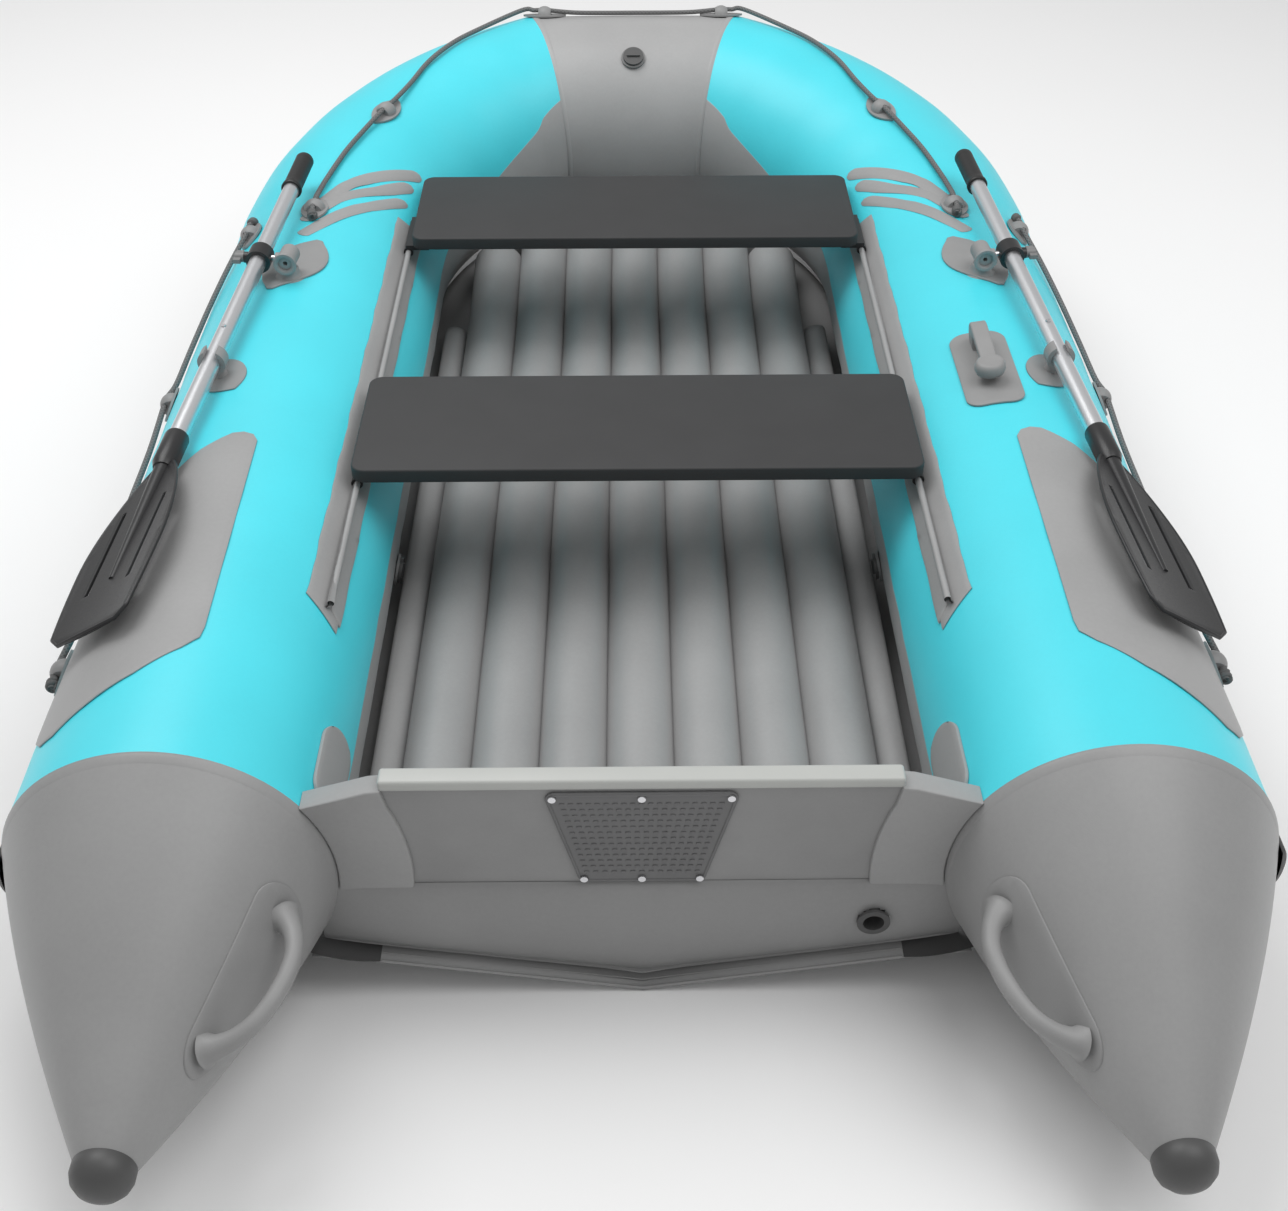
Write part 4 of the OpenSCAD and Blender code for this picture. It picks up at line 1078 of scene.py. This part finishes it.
# %% Oar grips and blades
OAR_X, OAR_S, OAR_Z, OAR_YAW = 0.672, 1.233, 0.465, math.radians(4)
POST_OUT = 0.050
OARLOCK = Matrix.Translation((-OAR_X, STERN + OAR_S, OAR_Z)) @ Matrix.Rotation(-OAR_YAW, 4, "Z")
OAR = OARLOCK @ Matrix.Rotation(math.radians(3), 4, "X")
MIRROR = Matrix.Scale(-1, 4, (1, 0, 0))
LENGTHWISE = Matrix.Rotation(math.pi / 2, 4, "X")


def grip():
    ribs = [(0.0176 - 0.0007 * (i % 2), 0.016 + i * 0.0045) for i in range(21)]
    end = [(0, 0), (0.012, 0), (0.0162, 0.0014), (0.0177, 0.005), (0.0175, 0.013)]
    flare = [(0.0175, 0.1145), (0.0193, 0.117), (0.0195, 0.1235), (0.0185, 0.125), (0.0151, 0.125)]
    return turned(end + ribs + flare, 40)


def blade_half(t):
    return 0.020 + 0.060 * math.sin(min(math.pi / 2, t * math.radians(150))) ** 0.8 - 0.012 * t ** 4


BLADE_START, BLADE_L = -0.075, 0.370
SLOT_X, SLOT_Y, SLOT_W, SLOT_L = 0.040, -0.260, 0.007, 0.186


def slot_rim(sign, spoon):
    """A thin lip round a slot, with half-round ends."""
    points = []
    for a in [2 * math.pi * (i + 0.5) / 16 for i in range(17)]:
        end = 0.0885 if math.sin(a) > 0 else -0.0885
        points.append(spoon(sign * SLOT_X + 0.0052 * math.cos(a),
                            SLOT_Y + 0.0052 * math.sin(a) + end, 0.0024))
    return swept(points, 0.0017, 8)


def blade():
    n = 22
    edge = [(blade_half(i / n), BLADE_START - i / n * BLADE_L) for i in range(n + 1)]
    edge[-1] = (edge[-1][0] - 0.014, edge[-1][1])
    edge.insert(-1, (edge[-2][0] - 0.002, BLADE_START - 0.96 * BLADE_L))
    outline = edge + [(-x, y) for x, y in reversed(edge)]

    def spoon(x, y, z):
        return Vector((x, y, z - 0.0024 + 0.9 * x * x))

    holes = [(sign * SLOT_X, SLOT_Y, SLOT_W, SLOT_L) for sign in (-1, 1)]
    leaf = lay(cut_out(outline, 0.014, 0.0046, 0.001, holes=holes), spoon)
    lip = [spoon(x, y, 0.0024) for x, y in outline]
    lip = swept(lip + lip[:1], 0.0029, 10)
    rib_line = [Vector((0, -0.072 - i * 0.0105, 0)) for i in range(26)]
    rib = swept(rib_line, [0.0135 - 0.0086 * (i / 25) for i in range(26)], 20)
    sleeve = turned([(0.0152, 0), (0.0185, 0.0006), (0.0192, 0.004), (0.0190, 0.070),
                     (0.0150, 0.082), (0.0, 0.085)], 40)
    slots = [slot_rim(sign, spoon) for sign in (-1, 1)]
    return joined(leaf, lip, rib, placed(sleeve, LENGTHWISE), *slots)


for side, flip in (("port", Matrix()), ("starboard", MIRROR)):
    held = placed(grip(), flip @ OAR @ Matrix.Translation((0, 0.378, 0)) @ LENGTHWISE)
    piece(held, side + "_grip", side + "_oar", black_rubber,
          [side + "_oar_grip"], 50)
    leaf = placed(blade(), flip @ OAR @ Matrix.Translation((0, -0.545, 0))
                  @ Matrix.Rotation(math.radians(-32), 4, "Y"))
    piece(leaf, side + "_blade", side + "_oar", black_plastic,
          [side + "_oar_blade"], 50)

# %% [markdown]
# ## Oarlock bases
# A moulded leaf is glued on the tube, with a round socket that the oarlock's post turns in.
# The leaf is cut flat and laid on the tube, and the socket is spun from its profile.

# %% Oarlock bases
LOCK = Matrix.Translation((OAR_X - POST_OUT * math.cos(OAR_YAW),
                           STERN + OAR_S - POST_OUT * math.sin(OAR_YAW), 0.4283))
foot = lay(cut_out(leaf_points(0.110, 0.190, math.radians(20)), 0.009, 0.003, 0.0012),
           laid_square(1.278, math.radians(3)))
SOCKET = [(0.034, -0.0045), (0.0265, 0.0015), (0.0205, 0.0060), (0.0178, 0.0120),
          (0.0170, 0.0170), (0.0162, 0.0188), (0.0145, 0.0194), (0.0088, 0.0194),
          (0.0085, 0.0185), (0.0085, 0.003)]
socket = placed(turned(SOCKET, 48), LOCK)
piece(both_sides(joined(foot, socket)), "oarlock_feet", "hull", grey_rubber,
      ["oarlock_bases"], 50)

# %% [markdown]
# Each oarlock's barrel ends in a flared mouth. It is spun from a profile and rides on the swivel,
# so it turns with the oar.

# %% Flared mouths of the oarlocks
MOUTH = [(0.0170, 0.0140), (0.0176, 0.0180), (0.0203, 0.0215), (0.0210, 0.0240), (0.0200, 0.0258),
         (0.0165, 0.0262), (0.0135, 0.0250), (0.0122, 0.0228)]
SWIVEL = OARLOCK @ Matrix.Translation((POST_OUT, 0, 0)) @ LENGTHWISE
for side, flip in (("port", Matrix()), ("starboard", MIRROR)):
    piece(placed(turned(MOUTH, 48), flip @ SWIVEL), side + "_oarlock_mouth", side + "_swivel",
          grey_rubber, (), 50)

# %% [markdown]
# ## Anchor line cleat
# A rounded patch carries a tongue that arches up from its front end and runs aft to a large
# round head, so that a line can be caught under it.

# %% Cleat
CLEAT_S, CLEAT_A = 0.900, math.radians(-9)


def cleat_place(x, y, z):
    return tube_point(CLEAT_S + y, CLEAT_A + math.asin(x / PATCH_R), z + 0.0003)


pad = lay(cut_out(corner_points(0.094, 0.225, 0.026, 7), 0.012, 0.003, 0.0012), cleat_place)
TONGUE_MM = [(52, 0), (89, 0), (90, 22), (86, 33), (78, 40), (66, 42), (20, 39), (-40, 34),
             (-40, 24), (20, 27), (40, 28), (49, 25), (52, 18)]
tongue = slab([(y / 1000, z / 1000) for y, z in TONGUE_MM], 0.028, 0.004, 4)
tongue = placed(tongue, Matrix(((0, 0, 1, -0.014), (1, 0, 0, 0), (0, 1, 0, 0), (0, 0, 0, 1))))
head = turned([(0, 0.012), (0.017, 0.012), (0.0225, 0.0145), (0.025, 0.021), (0.0247, 0.028),
               (0.0215, 0.034), (0.016, 0.0362), (0.013, 0.0352), (0, 0.0348)], 48)
bmesh.ops.translate(head, verts=head.verts, vec=(0, -0.042, 0))
raised = joined(tongue, head)
seat = Matrix.Translation(tube_point(CLEAT_S, CLEAT_A, 0.003)) @ Matrix.Rotation(CLEAT_A, 4, "Y")
piece(joined(pad, placed(raised, seat)), "line_cleat", "hull", grey_rubber,
      ["anchor_cleat"], 50)

# %% [markdown]
# ## Grab handles
# Each stern handle is a soft moulded arch on a long oval foot that follows the cone. A bar is
# swept along a smooth line and thickens where it runs into the foot.

# %% Stern handles
HANDLE_Y, HANDLE_A = -0.195, math.radians(-72)


def cone_normal(y, a):
    along = cone_point(y + 0.002, a) - cone_point(y - 0.002, a)
    around = cone_point(y, a + 0.01) - cone_point(y, a - 0.01)
    n = along.normalized().cross(around.normalized()).normalized()
    return n if n.dot(cone_point(y, a, 0.01) - cone_point(y, a)) > 0 else -n


def handle():
    middle = cone_point(HANDLE_Y, HANDLE_A)
    n = cone_normal(HANDLE_Y, HANDLE_A)
    ahead, astern = (cone_point(HANDLE_Y + step, HANDLE_A) for step in (0.01, -0.01))
    lengthwise = (ahead - astern).normalized()
    radius = (middle - cone_point(HANDLE_Y, HANDLE_A, -0.1)).length + 0.035

    def on_cone(x, y, z):
        yy = HANDLE_Y + y * lengthwise.y
        return cone_point(yy, HANDLE_A + x / radius, z + 0.0006)

    base = lay(cut_out(corner_points(0.084, 0.250, 0.040, 8), 0.011, 0.0028, 0.0012), on_cone)
    rail = [(-0.090, 0.001), (-0.084, 0.014), (-0.070, 0.031), (-0.048, 0.046), (-0.022, 0.053),
            (0, 0.0545), (0.022, 0.053), (0.048, 0.046), (0.070, 0.031), (0.084, 0.014),
            (0.090, 0.001)]
    arch = curve_through([middle + lengthwise * along + n * high for along, high in rail], 6)
    count = len(arch) - 1
    radii = [0.0112 + 0.0125 * abs(2 * i / count - 1) ** 5 for i in range(count + 1)]
    return joined(base, swept(arch, radii, 24))


piece(both_sides(handle()), "stern_handles", "hull", grey_rubber,
      ["grab_handles"], 60)

# %% [markdown]
# ## Finishes of the parts that keep their shape
# Hard parts such as oarlocks, pins and valves already have their true shape in the frame.
# They only need a finish with a moulded, brushed or drawn surface.

# %% Finishes for the hard parts
FINISH = {
    "port_oarlock": grey_rubber, "starboard_oarlock": grey_rubber, "port_oar_collar": black_plastic,
    "starboard_oar_collar": black_plastic, "port_oar_pin": steel, "starboard_oar_pin": steel,
    "port_oar_shaft": oar_tube, "starboard_oar_shaft": oar_tube, "port_clamp_knob": grey_plastic,
    "starboard_clamp_knob": grey_plastic, "port_snap_button": steel, "starboard_snap_button": steel,
    "oar_clips": grey_rubber, "rope_eyes": grey_rubber, "valve_bodies": grey_plastic,
    "bow_valve_cap": dark_rubber, "port_valve_cap": dark_rubber, "starboard_valve_cap": dark_rubber,
    "bow_valve_stem": steel, "port_valve_stem": steel, "starboard_valve_stem": steel,
    "drain_body": dark_rubber, "drain_plug": black_plastic, "motor_plate_screws": steel,
    "rear_seat_runners": black_plastic, "front_seat_runners": black_plastic,
    "bulkheads": keel_fabric,
}
for name, finish in FINISH.items():
    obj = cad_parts[name]
    if not obj.material_slots:
        obj.data.materials.append(finish)
    for slot in obj.material_slots:
        slot.material = finish
print("finished", len(FINISH), "hard parts")

# %% [markdown]
# ## Room and light
# A wide pale floor takes a soft shadow. Two large lamps hang above on either side.

# %% Floor and lamps
floor_bm = grid(1, 1)
for v in floor_bm.verts:
    v.co = Vector(((v.co.x - 0.5) * 40, (v.co.y - 0.5) * 40, -0.0006))
floor_mesh = bpy.data.meshes.new("studio_floor")
floor_bm.to_mesh(floor_mesh)
floor_bm.free()
floor_obj = bpy.data.objects.new("studio_floor", floor_mesh)
bpy.context.collection.objects.link(floor_obj)
g = Graph("studio_paper")
paper = g.noise(1.2, 2.0)
paper_colour = g.mix(paper, (0.88, 0.88, 0.88), (0.90, 0.90, 0.90))
floor_mesh.materials.append(g.finish(Base_Color=paper_colour, Roughness=0.9))

for name, at, aim, size, power in (("key_lamp", (-1.6, 1.2, 4.4), (0, 0.1, 0.2), 3.4, 110),
                                   ("fill_lamp", (2.0, -0.8, 4.4), (0, 0, 0.2), 3.6, 80)):
    lamp = bpy.data.lights.new(name, "AREA")
    lamp.shape, lamp.size, lamp.energy = "DISK", size, power
    lamp_obj = bpy.data.objects.new(name, lamp)
    aimed = (Vector(aim) - Vector(at)).to_track_quat("-Z", "Y").to_matrix().to_4x4()
    lamp_obj.matrix_world = Matrix.Translation(at) @ aimed
    bpy.context.collection.objects.link(lamp_obj)
world = bpy.data.worlds.new("studio")
world.use_nodes = True
sky = world.node_tree.nodes["Background"]
sky.inputs["Color"].default_value = (1, 1, 1, 1)
sky.inputs["Strength"].default_value = 0.5
bpy.context.scene.world = world
bpy.context.scene.view_settings.view_transform = "Standard"

# %% [markdown]
# The view layer is brought up to date at the end.

# %% Update the view layer
bpy.context.view_layer.update()
